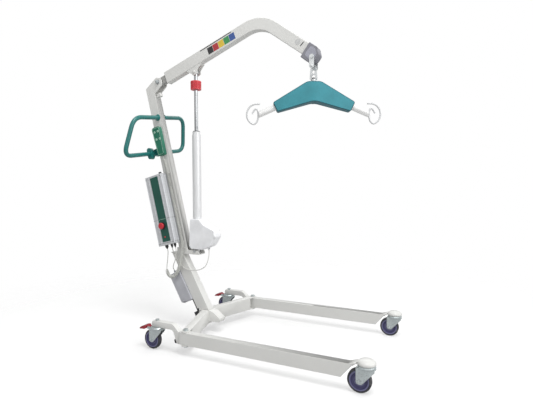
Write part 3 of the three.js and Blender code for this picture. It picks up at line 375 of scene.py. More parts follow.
@dataclass(frozen=True)
class Brushed(Finish):
    """Metal with fine lines along one axis."""

    lines: tuple[float, float, float] = (300.0, 300.0, 4.0)
    metal: float = 1.0

    def paint(self, graph: Graph) -> None:
        """Draws the lines in both the colour and the gloss.

        Args:
            graph: The material's node tree.
        """
        line = graph.noise(3.0, 6.0, graph.stretch(*self.lines))
        graph.colour(graph.ramp(line, [(0.3, scaled(self.base, 0.86)), (0.7, scaled(self.base, 1.05))]))
        graph.roughness(graph.grey(line, self.rough - 0.08, self.rough + 0.1))
        graph.bump(line, 0.05, 0.0001)
        graph.fixed(Metallic=self.metal)


@dataclass(frozen=True)
class Rubber(Finish):
    """Tread rubber, dusty where it rolls."""

    dust: tuple[float, ...] = srgb(132, 130, 128)

    def paint(self, graph: Graph) -> None:
        """Lays dust over the rubber.

        Args:
            graph: The material's node tree.
        """
        dirt = graph.noise(40.0, 6.0)
        graph.colour(graph.mix(graph.grey(dirt, 0.0, 0.45, 0.45, 0.75), self.base, self.dust))
        graph.roughness(graph.grey(dirt, self.rough - 0.1, self.rough + 0.1))
        graph.bump(graph.noise(300.0, 3.0), 0.2, 0.0005)


FRAME_WHITE = PowderCoat("frame_coat", srgb(216, 216, 213), 0.42, peel=0.02, grime=0.965)
# Painted shade: the frame coat darkened for the lug, which sits in shade between the mast head's cheeks.
LUG_SHADED = PowderCoat("lug_painted_shade", srgb(160, 160, 157), 0.45, peel=0.02)
ARM_WHITE = PowderCoat("spreader_arm_coat", srgb(234, 234, 233), 0.35, peel=0.02, grime=0.97)
HANDLE_COAT = PowderCoat("handle_coat", srgb(22, 112, 108), 0.3, peel=0.03)
LINKAGE_BLACK = PowderCoat("linkage_paint", srgb(36, 37, 40), 0.45)
ZINC = Plated("zinc_plate", srgb(200, 208, 209), 0.34)
GALVANISED = Plated("galvanised_steel", srgb(228, 231, 232), 0.36, spangle=240.0)
BRIGHT_STEEL = Brushed("bright_steel", srgb(205, 208, 210), 0.2)
ROD_CHROME = Brushed("rod_chrome", srgb(196, 198, 200), 0.14, lines=(4.0, 4.0, 260.0))
WIRE_STEEL = PowderCoat("hook_coat", srgb(206, 207, 208), 0.3, peel=0.02, grime=0.97)
TUBE_SILVER = Brushed("tube_silver", srgb(234, 235, 236), 0.34, lines=(200.0, 200.0, 3.0), metal=0.3)
BOX_SILVER = Brushed("box_aluminium", srgb(215, 217, 220), 0.4, lines=(6.0, 6.0, 300.0), metal=0.5)
TYRE = Rubber("tyre_rubber", srgb(52, 53, 60), 0.75)
CORE = Moulded("wheel_core_plastic", srgb(112, 111, 146), 0.5)
# Painted shade: the core's own plastic darkened for its recessed hollows.
CORE_HOLLOW_SHADE = Moulded("core_hollow_painted_shade", srgb(70, 68, 108), 0.5)
RED = Moulded("red_plastic", srgb(192, 32, 46), 0.34, grain=0.03, gloss_coat=0.3)
COLLAR_RED = Moulded("collar_red", srgb(214, 66, 74), 0.4, grain=0.03, gloss_coat=0.2)
PEDAL_RED = Moulded("pedal_red", srgb(150, 40, 50), 0.42, grain=0.04)
BLACK = Moulded("black_plastic", srgb(34, 35, 38), 0.5)
TEAL = Moulded("teal_cover_plastic", srgb(58, 140, 152), 0.46, grain=0.06)
TEAL_EDGE = Moulded("teal_edge_plastic", srgb(22, 92, 104), 0.5)
GREEN = Moulded("handset_green", srgb(28, 112, 88), 0.45)
KEY_PALE = Moulded("keypad_pale", srgb(168, 208, 188), 0.5, grain=0.05)
KEY_MARK = Moulded("key_mark", srgb(20, 74, 58), 0.55, grain=0.03)
LABEL_GREEN = Moulded("label_green", srgb(20, 80, 68), 0.5, grain=0.02)
CAP_GREY = Moulded("end_cap_grey", srgb(134, 134, 142), 0.5)
DISC_GREY = Moulded("disc_vinyl", srgb(196, 197, 196), 0.4, grain=0.02)
CAP_PANEL = Moulded("end_cap_panel", srgb(160, 161, 172), 0.45)
HOUSING_GREY = Moulded("housing_grey", srgb(238, 239, 241), 0.42)
# Painted shade: the leg drive's housing is the same pale moulding as the lift housing, darkened for the
# shade where it sits low behind the mast.
DRIVE_HOUSING_SHADED = Moulded("drive_housing_painted_shade", srgb(180, 181, 187), 0.5)
LEAD_GREY = Moulded("lead_sheath", srgb(214, 214, 210), 0.55, grain=0.04)
CURLY_GREY = Moulded("curly_sheath", srgb(196, 197, 192), 0.5, grain=0.04)


class Patch(Enum):
    """Colours of the five weight-range squares on the boom."""

    BLACK = (30, 30, 34)
    RED = (176, 34, 44)
    YELLOW = (222, 190, 50)
    GREEN = (48, 140, 78)
    BLUE = (44, 82, 152)

    def finish(self) -> Moulded:
        """Printed vinyl in this colour."""
        name = f"vinyl_{self.name.lower()}"
        return Moulded(name, srgb(*self.value), 0.4, grain=0.02, gloss_coat=0.3)


# ------------------------------------------------------------------ shapes


def placed(obj: bpy.types.Object, body: str, slot: str, finish: Finish, *nodes: str) -> bpy.types.Object:
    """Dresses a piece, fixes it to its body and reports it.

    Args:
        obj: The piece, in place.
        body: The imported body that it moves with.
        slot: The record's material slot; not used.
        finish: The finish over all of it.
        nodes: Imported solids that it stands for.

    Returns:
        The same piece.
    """
    obj.data.materials.clear()
    obj.data.materials.append(finish.material())
    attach(obj, body)
    if nodes:
        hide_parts(*nodes)
    LOG.info("piece %s on %s", obj.name, body)
    return obj


def new_object(
    name: str, build: Callable[[bmesh.types.BMesh], None], sharp: float = 35.0,
) -> bpy.types.Object:
    """Makes a mesh object from a function that fills a bmesh.

    Args:
        name: Name of the piece.
        build: The function that fills it.
        sharp: Angle over which an edge stays sharp, in degrees.

    Returns:
        The new piece.
    """
    bm = bmesh.new()
    build(bm)
    bmesh.ops.recalc_face_normals(bm, faces=bm.faces)
    mesh = bpy.data.meshes.new(name)
    bm.to_mesh(mesh)
    bm.free()
    mesh.shade_smooth()
    mesh.set_sharp_from_angle(angle=math.radians(sharp))
    obj = bpy.data.objects.new(name, mesh)
    bpy.context.scene.collection.objects.link(obj)
    return obj


def eased(
    obj: bpy.types.Object, width: float, segments: int = 2, angle: float = 35.0, clamp: bool = False,
) -> bpy.types.Object:
    """Rounds a piece's edges.

    Args:
        obj: The piece.
        width: Width of the rounding in millimetres.
        segments: Faces across it.
        angle: Edges sharper than this, in degrees, are rounded.
        clamp: True where short edges must limit the rounding.

    Returns:
        The same piece.
    """
    bevel = obj.modifiers.new("eased_edges", "BEVEL")
    bevel.width = width * MM
    bevel.segments = segments
    bevel.limit_method = "ANGLE"
    bevel.angle_limit = math.radians(angle)
    bevel.use_clamp_overlap = clamp
    bevel.harden_normals = True
    return obj


def skin(
    node: str, finish: Finish, slot: str, ease: float = 0.8, angle: float = 35.0, segments: int = 2,
    clamp: bool = False, merge: float = 0.8,
) -> bpy.types.Object:
    """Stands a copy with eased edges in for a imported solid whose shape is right.

    Args:
        node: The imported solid.
        finish: Its finish.
        slot: The record's material slot.
        ease: Width of the edge rounding in millimetres, or 0 for none.
        angle: Edges sharper than this, in degrees, stay edges.
        segments: Faces across each rounding.
        clamp: True where short edges must limit the rounding.
        merge: Faces flatter to each other than this, in degrees, become one.

    Returns:
        The new piece.
    """
    source = frame["nodes"][node]

    def build(bm: bmesh.types.BMesh) -> None:
        """Joins the flat triangles of the solid.

        Args:
            bm: The mesh to fill.
        """
        bm.from_mesh(source.data)
        bmesh.ops.remove_doubles(bm, verts=bm.verts, dist=WELD)
        if merge:
            flat = math.radians(merge)
            bmesh.ops.dissolve_limit(bm, angle_limit=flat, verts=bm.verts, edges=bm.edges)
            large = [f for f in bm.faces if len(f.verts) > MOST_CORNERS]
            bmesh.ops.triangulate(bm, faces=large, ngon_method="BEAUTY")

    obj = new_object(f"{node}_skin", build, angle)
    if ease:
        eased(obj, ease, segments, angle, clamp)
    return placed(obj, source["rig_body"], slot, finish, node)


def rounded(corners: Iterable[Sequence[float]], steps: int = 8) -> list[tuple[float, float]]:
    """Rounds the corners of an outline.

    Args:
        corners: Pairs, or threes whose last number is the corner's radius.
        steps: Steps round each rounded corner.

    Returns:
        The outline's points.
    """
    corners = [tuple(c) for c in corners]
    points: list[tuple[float, float]] = []
    for i, corner in enumerate(corners):
        here = Vector(corner[:2])
        if len(corner) < 3 or not corner[2]:
            points.append(tuple(here))
            continue
        radius = corner[2]
        back = (Vector(corners[i - 1][:2]) - here).normalized()
        ahead = (Vector(corners[(i + 1) % len(corners)][:2]) - here).normalized()
        half = back.angle(ahead) / 2
        centre = here + (back + ahead).normalized() * (radius / math.sin(half))
        first = here + back * (radius / math.tan(half)) - centre
        last = here + ahead * (radius / math.tan(half)) - centre
        sweep = math.atan2(first.x * last.y - first.y * last.x, first.dot(last))
        for k in range(steps + 1):
            turn = Matrix.Rotation(sweep * k / steps, 2)
            points.append(tuple(centre + turn @ first))
    return points


def plate(
    name: str, outline: Sequence[Sequence[float]], low: float, high: float,
    place: Callable[[float, float, float], Vector] = at, sharp: float = 35.0,
) -> bpy.types.Object:
    """Extrudes an outline sideways.

    Args:
        name: Name of the piece.
        outline: Pairs of X and Z, in millimetres.
        low: The Y that it starts from.
        high: The Y that it ends at.
        place: Turns the three numbers into a place.
        sharp: Angle over which an edge stays sharp, in degrees.

    Returns:
        The new piece.
    """

    def build(bm: bmesh.types.BMesh) -> None:
        """One face, then its thickness.

        Args:
            bm: The mesh to fill.
        """
        near = [bm.verts.new(place(x, low, z)) for x, z in outline]
        far = [bm.verts.new(place(x, high, z)) for x, z in outline]
        bm.faces.new(near)
        bm.faces.new(far[::-1])
        for i in range(len(outline)):
            j = (i + 1) % len(outline)
            bm.faces.new((near[i], near[j], far[j], far[i]))

    return new_object(name, build, sharp)


def turned(
    name: str, profile: Sequence[tuple[float, float]], start: Vector, axis: Vector, sides: int = 64,
    closed: bool = False,
) -> bpy.types.Object:
    """Turns a profile about an axis.

    Args:
        name: Name of the piece.
        profile: Pairs of radius and distance along the axis, in millimetres.
        start: The place that the distances are counted from.
        axis: Direction of the axis.
        sides: Steps round.
        closed: True where the profile is a ring's section.

    Returns:
        The new piece.
    """
    turn = Vector((0, 0, 1)).rotation_difference(axis.normalized()).to_matrix()

    def build(bm: bmesh.types.BMesh) -> None:
        """Rings of vertices joined by faces.

        Args:
            bm: The mesh to fill.
        """
        rings: list[list[bmesh.types.BMVert]] = []
        for radius, along in profile:
            count = sides if radius > 1e-6 else 1
            ring = []
            for k in range(count):
                a = 2 * math.pi * k / sides
                local = Vector((radius * math.cos(a), radius * math.sin(a), along)) * MM
                ring.append(bm.verts.new(start + turn @ local))
            rings.append(ring)
        pairs = list(zip(rings, rings[1:])) + ([(rings[-1], rings[0])] if closed else [])
        for low, high in pairs:
            for k in range(sides):
                j = (k + 1) % sides
                corners = [
                    low[k % len(low)], low[j % len(low)], high[j % len(high)], high[k % len(high)],
                ]
                unique = list(dict.fromkeys(corners))
                if len(unique) > 2:
                    bm.faces.new(unique)

    return new_object(name, build, TURNED_SHARP)


def catmull(points: Sequence[Vector], step: float = 3.0) -> list[Vector]:
    """A centripetal curve through points.

    Args:
        points: The points.
        step: Length of a step along it, in millimetres.

    Returns:
        The curve's points.
    """
    nodes = [points[0] * 2 - points[1], *points, points[-1] * 2 - points[-2]]
    curve: list[Vector] = []
    for p0, p1, p2, p3 in zip(nodes, nodes[1:], nodes[2:], nodes[3:]):
        d0, d1, d2 = ((b - a).length ** 0.5 for a, b in ((p0, p1), (p1, p2), (p2, p3)))
        t1 = ((p1 - p0) / d0 - (p2 - p0) / (d0 + d1) + (p2 - p1) / d1) * d1
        t2 = ((p2 - p1) / d1 - (p3 - p1) / (d1 + d2) + (p3 - p2) / d2) * d1
        count = max(2, int((p2 - p1).length / (step * MM)))
        for k in range(count):
            s = k / count
            curve.append(
                p1 * (2 * s**3 - 3 * s**2 + 1) + t1 * (s**3 - 2 * s**2 + s)
                + p2 * (3 * s**2 - 2 * s**3) + t2 * (s**3 - s**2)
            )
    curve.append(points[-1])
    return curve


def length_of(points: Sequence[Vector]) -> float:
    """Length of a line of points."""
    return sum((b - a).length for a, b in zip(points, points[1:]))


def wire(
    name: str, points: Sequence[Vector], radius: float, round_steps: int = 4,
) -> bpy.types.Object:
    """A round wire or tube along a line of points.

    Args:
        name: Name of the piece.
        points: The line.
        radius: Its radius in millimetres.
        round_steps: How finely it is rounded.

    Returns:
        The new piece.
    """
    curve = bpy.data.curves.new(name, "CURVE")
    curve.dimensions = "3D"
    curve.bevel_depth = radius * MM
    curve.bevel_resolution = round_steps
    curve.use_fill_caps = True
    spline = curve.splines.new("POLY")
    spline.points.add(len(points) - 1)
    for i, point in enumerate(points):
        spline.points[i].co = (*point, 1.0)
        spline.points[i].radius = 1.0
    spline.use_smooth = True
    obj = bpy.data.objects.new(name, curve)
    bpy.context.scene.collection.objects.link(obj)
    return obj


# ------------------------------------------------------------------ studio


@dataclass(frozen=True)
class Lamp:
    """One square area lamp. Its place and size are in metres."""

    name: str
    place: tuple[float, float, float]
    size: float
    power: float

    def build(self, aim: Vector) -> None:
        """Hangs the lamp.

        Args:
            aim: The place that it points at, in metres.
        """
        data = bpy.data.lights.new(self.name, "AREA")
        data.size = self.size
        data.energy = self.power
        obj = bpy.data.objects.new(self.name, data)
        obj.location = self.place
        obj.rotation_euler = (aim - obj.location).to_track_quat("-Z", "Y").to_euler()
        bpy.context.scene.collection.objects.link(obj)


@dataclass
class Studio:
    """Camera, floor, lamps and the light all round.

    The camera's place is in datum millimetres and everything else in metres.
    """

    eye: tuple[float, float, float] = (904.0, -1983.0, 828.0)
    azimuth: float = 26.02
    pitch: float = -1.81
    roll: float = -0.3
    lens: float = 27.8
    sensor: float = 36.0
    far_clip: float = 60.0
    floor_half: float = 14.0
    floor_drop: float = 0.0005
    floor_shades: tuple[float, float] = (0.9, 0.94)
    floor_bounce: float = 0.55
    floor_fade: tuple[float, float, float] = (0.42, 1.1, 2.4)
    bright_side: tuple[float, float, float] = (0.62, 0.1, 0.78)
    sky_lean: float = 0.9
    sky_light: tuple[float, float] = (0.2, 0.86)
    aim: tuple[float, float, float] = (0.0, 0.0, 0.8)
    lamps: tuple[Lamp, ...] = (
        Lamp("key", (1.2, -1.1, 4.4), 1.6, 84.0),
        Lamp("side", (4.2, -1.0, 2.2), 2.4, 52.0),
        Lamp("fill", (-1.2, -3.4, 3.0), 2.4, 14.0),
        Lamp("rim", (-0.6, 3.4, 2.8), 2.6, 24.0),
    )

    def build(self) -> None:
        """Makes all of it."""
        self.camera()
        self.floor()
        for lamp in self.lamps:
            lamp.build(Vector(self.aim))
        self.world()

    def camera(self) -> None:
        """Stands the camera ahead of the lift and to its right."""
        data = bpy.data.cameras.new("camera")
        data.lens = self.lens
        data.sensor_width = self.sensor
        data.clip_end = self.far_clip
        obj = bpy.data.objects.new("camera", data)
        obj.location = at(*self.eye)
        turn = Matrix.Rotation(math.radians(self.azimuth), 4, "Z")
        tilt = Matrix.Rotation(math.radians(90 + self.pitch), 4, "X")
        roll = Matrix.Rotation(math.radians(self.roll), 4, "Z")
        obj.rotation_euler = (turn @ tilt @ roll).to_euler()
        bpy.context.scene.collection.objects.link(obj)
        bpy.context.scene.camera = obj

    def floor(self) -> None:
        """A pale floor that fades to white away from the lift."""
        half = self.floor_half

        def build(bm: bmesh.types.BMesh) -> None:
            """One square, filled into bm."""
            corners = ((-half, -half), (half, -half), (half, half), (-half, half))
            bm.faces.new([bm.verts.new((x, y, -self.floor_drop)) for x, y in corners])

        obj = new_object("floor", build)
        graph = Graph("floor_paper")
        self.floor_paper(graph)
        obj.data.materials.append(graph.material)

    def floor_paper(self, graph: Graph) -> None:
        """Paper near the lift that turns clear, for the camera alone, further out.

        Args:
            graph: The floor's material.
        """
        links = graph.tree.links
        low, high = ((shade, shade, shade, 1) for shade in self.floor_shades)
        bounce = (self.floor_bounce, self.floor_bounce, self.floor_bounce, 1)
        seen = graph.ramp(graph.noise(3.0), [(0.2, low), (0.8, high)])
        looked_at = graph.tree.nodes.new("ShaderNodeLightPath").outputs["Is Camera Ray"]
        graph.colour(graph.mix(looked_at, bounce, seen))
        graph.fixed(Roughness=0.9, Specular_IOR_Level=0.1)
        clear = graph.add("ShaderNodeBsdfTransparent")
        away = graph.add("ShaderNodeVectorMath")
        away.operation = "LENGTH"
        links.new(graph.coords, away.inputs[0])
        least, start, end = self.floor_fade
        fade = graph.grey(away.outputs["Value"], least, 1.0, start, end)
        share = graph.add("ShaderNodeMath")
        share.operation = "MULTIPLY"
        links.new(fade, share.inputs[0])
        links.new(looked_at, share.inputs[1])
        blend = graph.add("ShaderNodeMixShader", Fac=share.outputs[0])
        links.new(graph.shader.outputs[0], blend.inputs[1])
        links.new(clear.outputs[0], blend.inputs[2])
        links.new(blend.outputs[0], graph.tree.nodes["Material Output"].inputs["Surface"])

    def world(self) -> None:
        """Light all round, stronger on one side, that the camera sees as white."""
        world = bpy.data.worlds.new("studio")
        bpy.context.scene.world = world
        world.use_nodes = True
        tree = world.node_tree
        tree.nodes.clear()
        output = tree.nodes.new("ShaderNodeOutputWorld")
        soft = tree.nodes.new("ShaderNodeBackground")
        white = tree.nodes.new("ShaderNodeBackground")
        for background in (soft, white):
            background.inputs["Color"].default_value = (1, 1, 1, 1)
        white.inputs["Strength"].default_value = 1.0
        sky = tree.nodes.new("ShaderNodeTexCoord")
        lean = tree.nodes.new("ShaderNodeVectorMath")
        lean.operation = "DOT_PRODUCT"
        lean.inputs[1].default_value = self.bright_side
        span = tree.nodes.new("ShaderNodeMapRange")
        span.inputs["From Min"].default_value = -self.sky_lean
        span.inputs["From Max"].default_value = self.sky_lean
        span.inputs["To Min"].default_value = self.sky_light[0]
        span.inputs["To Max"].default_value = self.sky_light[1]
        tree.links.new(sky.outputs["Generated"], lean.inputs[0])
        tree.links.new(lean.outputs["Value"], span.inputs["Value"])
        tree.links.new(span.outputs["Result"], soft.inputs["Strength"])
        rays = tree.nodes.new("ShaderNodeLightPath")
        mix = tree.nodes.new("ShaderNodeMixShader")
        tree.links.new(rays.outputs["Is Camera Ray"], mix.inputs[0])
        tree.links.new(soft.outputs[0], mix.inputs[1])
        tree.links.new(white.outputs[0], mix.inputs[2])
        tree.links.new(mix.outputs[0], output.inputs[0])


# ------------------------------------------------------------------ cords


@dataclass
class Cords:
    """The curly handset cord and the two actuator leads."""

    coil_radius: float = 7.8
    wire_radius: float = 2.3
    pitch: float = 6.6
    turn_steps: int = 14
    straight_stride: int = 3
    route_step: float = 1.0
    lead_in: float = 16.0
    swell_in: float = 12.0
    tail: float = 118.0
    swell_out: float = 14.0
    lead_radius: float = 2.45
    plug_gap: float = 1.0
    plug_length: float = 22.3

    def plug_end(self, u: float, y: float, drop: float) -> Vector:
        """A place under a plug of the control box."""
        return MAST.point(u, y, BOX_FOOT - self.plug_length - self.plug_gap - drop)

    def build(self) -> None:
        """Makes the three cords."""
        self.handset_cord()
        self.lift_lead()
        self.leg_lead()

    def handset_route(self) -> list[Vector]:
        """The line that the coil is wound round, from the handset to its plug.

        Returns:
            Places along the line, in metres.
        """
        route = [MAST.point(*p) for p in (
            (12, -48, 589), (12.5, -48, 574), (16, -44, 530), (17, -43, 440),
            (17, -43, 320), (17, -43, 200), (17, -44, 100),
        )]
        route += [at(*p) for p in (
            (-591, -45, 500), (-597, -46, 440), (-608, -48, 378), (-626, -51, 331), (-650, -54, 303),
            (-674, -57, 303), (-689, -60, 322), (-694, -61, 346), (-693, -61, 368), (-687, -62, 400),
        )]
        route += [self.plug_end(-86, -62, 14), self.plug_end(-86, -62, 0)]
        return catmull(route, self.route_step)

    def swell(self, walked: float, total: float) -> float:
        """How far the coil has opened at a distance along the line.

        Args:
            walked: The distance, in metres.
            total: Length of the whole line, in metres.

        Returns:
            A share of the coil's radius, 0 on the straight ends.
        """
        rise = (walked - self.lead_in * MM) / (self.swell_in * MM)
        fall = (total - self.tail * MM - walked) / (self.swell_out * MM)
        return min(1.0, max(0.0, rise), max(0.0, fall))

    def coiled(self, line: Sequence[Vector]) -> list[Vector]:
        """Winds a helix round a line, straight at both ends.

        Args:
            line: The line, in small steps.

        Returns:
            Places along the wire's middle.
        """
        total = length_of(line)
        step = self.pitch * MM / self.turn_steps
        points = [line[0].copy()]
        side = Vector((0, 1, 0))
        walked = 0.0
        angle = 0.0
        next_stop = step
        for a, b in zip(line, line[1:]):
            span = (b - a).length
            ahead = (b - a).normalized()
            side = (side - ahead * side.dot(ahead)).normalized()
            other = ahead.cross(side)
            while next_stop <= walked + span:
                here = a + ahead * (next_stop - walked)
                swell = self.swell(next_stop, total)
                reach = self.coil_radius * MM * swell * swell * (3 - 2 * swell)
                points.append(here + (side * math.cos(angle) + other * math.sin(angle)) * reach)
                if swell > 0:
                    angle += 2 * math.pi / self.turn_steps
                next_stop += step if swell > 0 else self.straight_stride * step
            walked += span
        points.append(line[-1].copy())
        return points

    def handset_cord(self) -> None:
        """The curly cord from the handset to the box."""
        points = self.coiled(self.handset_route())
        sheath = wire("handset_cord_coil", points, self.wire_radius, 2)
        obj = placed(sheath, "base", "lead", CURLY_GREY, "handset_cord")

    def lead(self, name: str, route: Sequence[Vector], node: str) -> None:
        """One plain lead.

        Args:
            name: Name of the piece.
            route: Places that it passes, in metres.
            node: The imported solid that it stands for.
        """
        points = catmull(route)
        obj = placed(wire(name, points, self.lead_radius, 3), "base", "lead", LEAD_GREY, node)

    def lift_lead(self) -> None:
        """From the lift actuator down round the lower mast and up to its plug."""
        route = [at(*p) for p in (
            (-422, -20, 469), (-422, -20, 450), (-428, -23, 410), (-445, -27, 374), (-480, -30, 354),
            (-520, -31, 345), (-556, -31, 347), (-592, -31, 357), (-622, -33, 380), (-640, -39, 410),
        )]
        route += [self.plug_end(-58, -50, 16), self.plug_end(-58, -50, 0)]
        self.lead("lift_lead_sheath", route, "lift_lead")

    def leg_lead(self) -> None:
        """From its plug down to the leg actuator."""
        drive = LegDrive().axis()
        route = [self.plug_end(-28, -58, 0), self.plug_end(-28, -58, 16)]
        route += [at(*p) for p in ((-633, -56, 420), (-643, -50, 394), (-659, -40, 376))]
        route += [drive.point(-40, -22, 280), drive.point(-40, -22, 263)]
        self.lead("leg_lead_sheath", route, "leg_lead")


# ------------------------------------------------------------------ base


@dataclass
class Castor:
    """One castor: fork, tyre, core and, at the rear, a brake pedal."""

    name: str
    swivel_x: float
    y: float
    braked: bool
    trail: float = 29.0
    radius: float = 50.0
    fork_half: float = 22.6
    sides: int = 72
    shaded_hollows: tuple[tuple[float, float], ...] = ((14.2, 18.6), (23.0, 34.5))
    pedal_back: float = 69.0
    pedal_z: float = 106.0
    rib_half: float = 18.0
    rib_start: float = 5.0
    rib_step: float = 5.4

    def build(self) -> None:
        """Makes the castor's pieces."""
        wheel = at(self.swivel_x - self.trail, self.y, self.radius)
        across = Vector((0, 1, 0))
        skin(f"castor_fork_{self.name}", ZINC, "zinc", 0.7)
        self.tyre(wheel, across)
        self.core(wheel, across)
        cap = [(0, 2.2), (3.2, 2.2), (4.4, 1.2), (4.6, 0), (0, 0)]
        for side, mark in ((-1, "a"), (1, "b")):
            seat = wheel + across * side * self.fork_half * MM
            screw = turned(f"axle_cap_{self.name}_{mark}", cap, seat, across * side, 20)
            placed(screw, f"castor_{self.name}", "zinc", ZINC)
        if self.braked:
            skin(f"brake_pedal_{self.name}", PEDAL_RED, "red", 1.0)
            self.pedal_ribs()

    def tyre(self, wheel: Vector, across: Vector) -> None:
        """The crowned tread.

        Args:
            wheel: The wheel's middle.
            across: Direction of its axle.
        """
        tread = rounded([
            (41.2, -12, 0.6), (44.5, -12, 1), (47.2, -10.6, 3), (50, -6.5, 4), (50, 6.5, 4),
            (47.2, 10.6, 3), (44.5, 12, 1), (41.2, 12, 0.6),
        ], 3)
        ring = turned(f"tyre_{self.name}_tread", tread, wheel, across, self.sides, closed=True)
        placed(ring, f"wheel_{self.name}", "tyre", TYRE, f"tyre_{self.name}")

    def core(self, wheel: Vector, across: Vector) -> None:
        """The moulded core, with darker bands painted in its hollows as shade.

        Args:
            wheel: The wheel's middle.
            across: Direction of its axle.
        """
        half = [
            (5.6, 13), (12.6, 13), (13.4, 12.2), (14.6, 6.2), (19, 5.0), (19.6, 6.2), (22.4, 6.2),
            (23, 5.0), (31, 5.0), (33.6, 6.6), (35.2, 11), (36, 11.4), (40.2, 11.4), (40.6, 10.8),
        ]
        section = half + [(r, -h) for r, h in reversed(half)]
        web = turned(f"wheel_core_{self.name}_web", section, wheel, across, self.sides, closed=True)
        placed(web, f"wheel_{self.name}", "core", CORE, f"wheel_core_{self.name}")
        # Faces in the hollows take the darker colour, painted as their shade.
        web.data.materials.append(CORE_HOLLOW_SHADE.material())
        for face in web.data.polygons:
            reach = (face.center - wheel).xz.length / MM
            if any(inner < reach < outer for inner, outer in self.shaded_hollows):
                face.material_index = 1

    def pedal_ribs(self) -> None:
        """Grip ribs across the pedal's top."""
        slope = Vector((25, 0, 11)).normalized()
        up = Vector((-11, 0, 25)).normalized()
        half = Vector((0, self.rib_half * MM, 0))
        start = at(self.swivel_x - self.trail - self.pedal_back, self.y, self.pedal_z)
        for k in range(4):
            place = start + (slope * (self.rib_start + self.rib_step * k) + up * 0.2) * MM
            rib = wire(f"pedal_rib_{self.name}_{k}", [place - half, place + half], 0.9, 2)
            placed(rib, f"pedal_{self.name.split('_')[1]}", "black", BLACK)


@dataclass
class Base:
    """Legs, cross member, hinge pins and castors."""

    leg_y: float = 353.0
    front_x: float = 550.0
    rear_x: float = -517.0
    bumper_half: float = 11.0

    def build(self) -> None:
        """Makes the rolling base."""
        for side, name in ((1, "left"), (-1, "right")):
            skin(f"leg_{name}", FRAME_WHITE, "frame", 2.2, angle=60.0, segments=3)
            skin(f"leg_hinge_pin_{name}", ZINC, "zinc", 0.8)
            Castor(f"front_{name}", self.front_x, side * self.leg_y, False).build()
            Castor(f"rear_{name}", self.rear_x, side * self.leg_y, True).build()
            self.bumper(name, side * self.leg_y)
        skin("cross_member", FRAME_WHITE, "frame", 0.9, angle=50.0, clamp=True, merge=0.0)

    def bumper(self, name: str, y: float) -> None:
        """A rubber bumper at the foot of a leg's gooseneck.

        Args:
            name: The leg's side.
            y: The leg's middle.
        """
        outline = rounded([(-399, 54, 4), (-385.4, 54, 0.5), (-392.4, 72, 0.5), (-404, 72, 4)], 3)
        block = plate(f"leg_bumper_{name}", outline, y - self.bumper_half, y + self.bumper_half)
        placed(eased(block, 1.0), f"leg_{name}_arm", "black", BLACK)


@dataclass
class LegDrive:
    """The actuator that spreads the legs, and its tie rods."""

    mast_x: float = -423.7
    standoff: float = 71.0
    foot_z: float = 122.3
    lean: float = 29.5

    def axis(self) -> Tilted:
        """The leaning frame that the actuator lies along, its standoff behind the mast."""
        foot_x = self.mast_x - self.standoff / math.cos(math.radians(self.lean))
        return Tilted((foot_x, 0.0, self.foot_z), self.lean)

    def build(self) -> None:
        """Makes the drive's pieces."""
        # The housing's darker grey is painted shade over the pale housing moulding.
        skin("leg_actuator_housing", DRIVE_HOUSING_SHADED, "housing", 3.0, segments=3)
        skin("leg_actuator_rod", LINKAGE_BLACK, "linkage", 0.8)
        for side in ("left", "right"):
            skin(f"tie_rod_{side}", LINKAGE_BLACK, "linkage", 0.5)


# ------------------------------------------------------------------ mast


@dataclass
class Mast:
    """Lower and upper mast tubes, the knee bracket and the head."""

    head_half: float = 35.1

    def build(self) -> None:
        """Makes the mast."""
        skin("lower_mast", FRAME_WHITE, "frame", 3.0, segments=3)
        skin("upper_mast", FRAME_WHITE, "frame", 1.6, segments=3)
        skin("actuator_bracket", FRAME_WHITE, "frame", 0.8)
        skin("actuator_foot_pin", BRIGHT_STEEL, "steel", 0.6)
        skin("boom_pivot_bolt", BRIGHT_STEEL, "steel", 0.6)
        dome = [(0, 4.6), (5.5, 4.2), (8.2, 2.6), (9.0, 0), (0, 0)]
        x, z = BOOM_PIVOT
        for side, mark in SIDES:
            seat = at(x, side * self.head_half, z)
            cover = turned(f"pivot_cap_{mark}", dome, seat, Vector((0, side, 0)), 32)
            placed(cover, "base", "steel", ZINC)


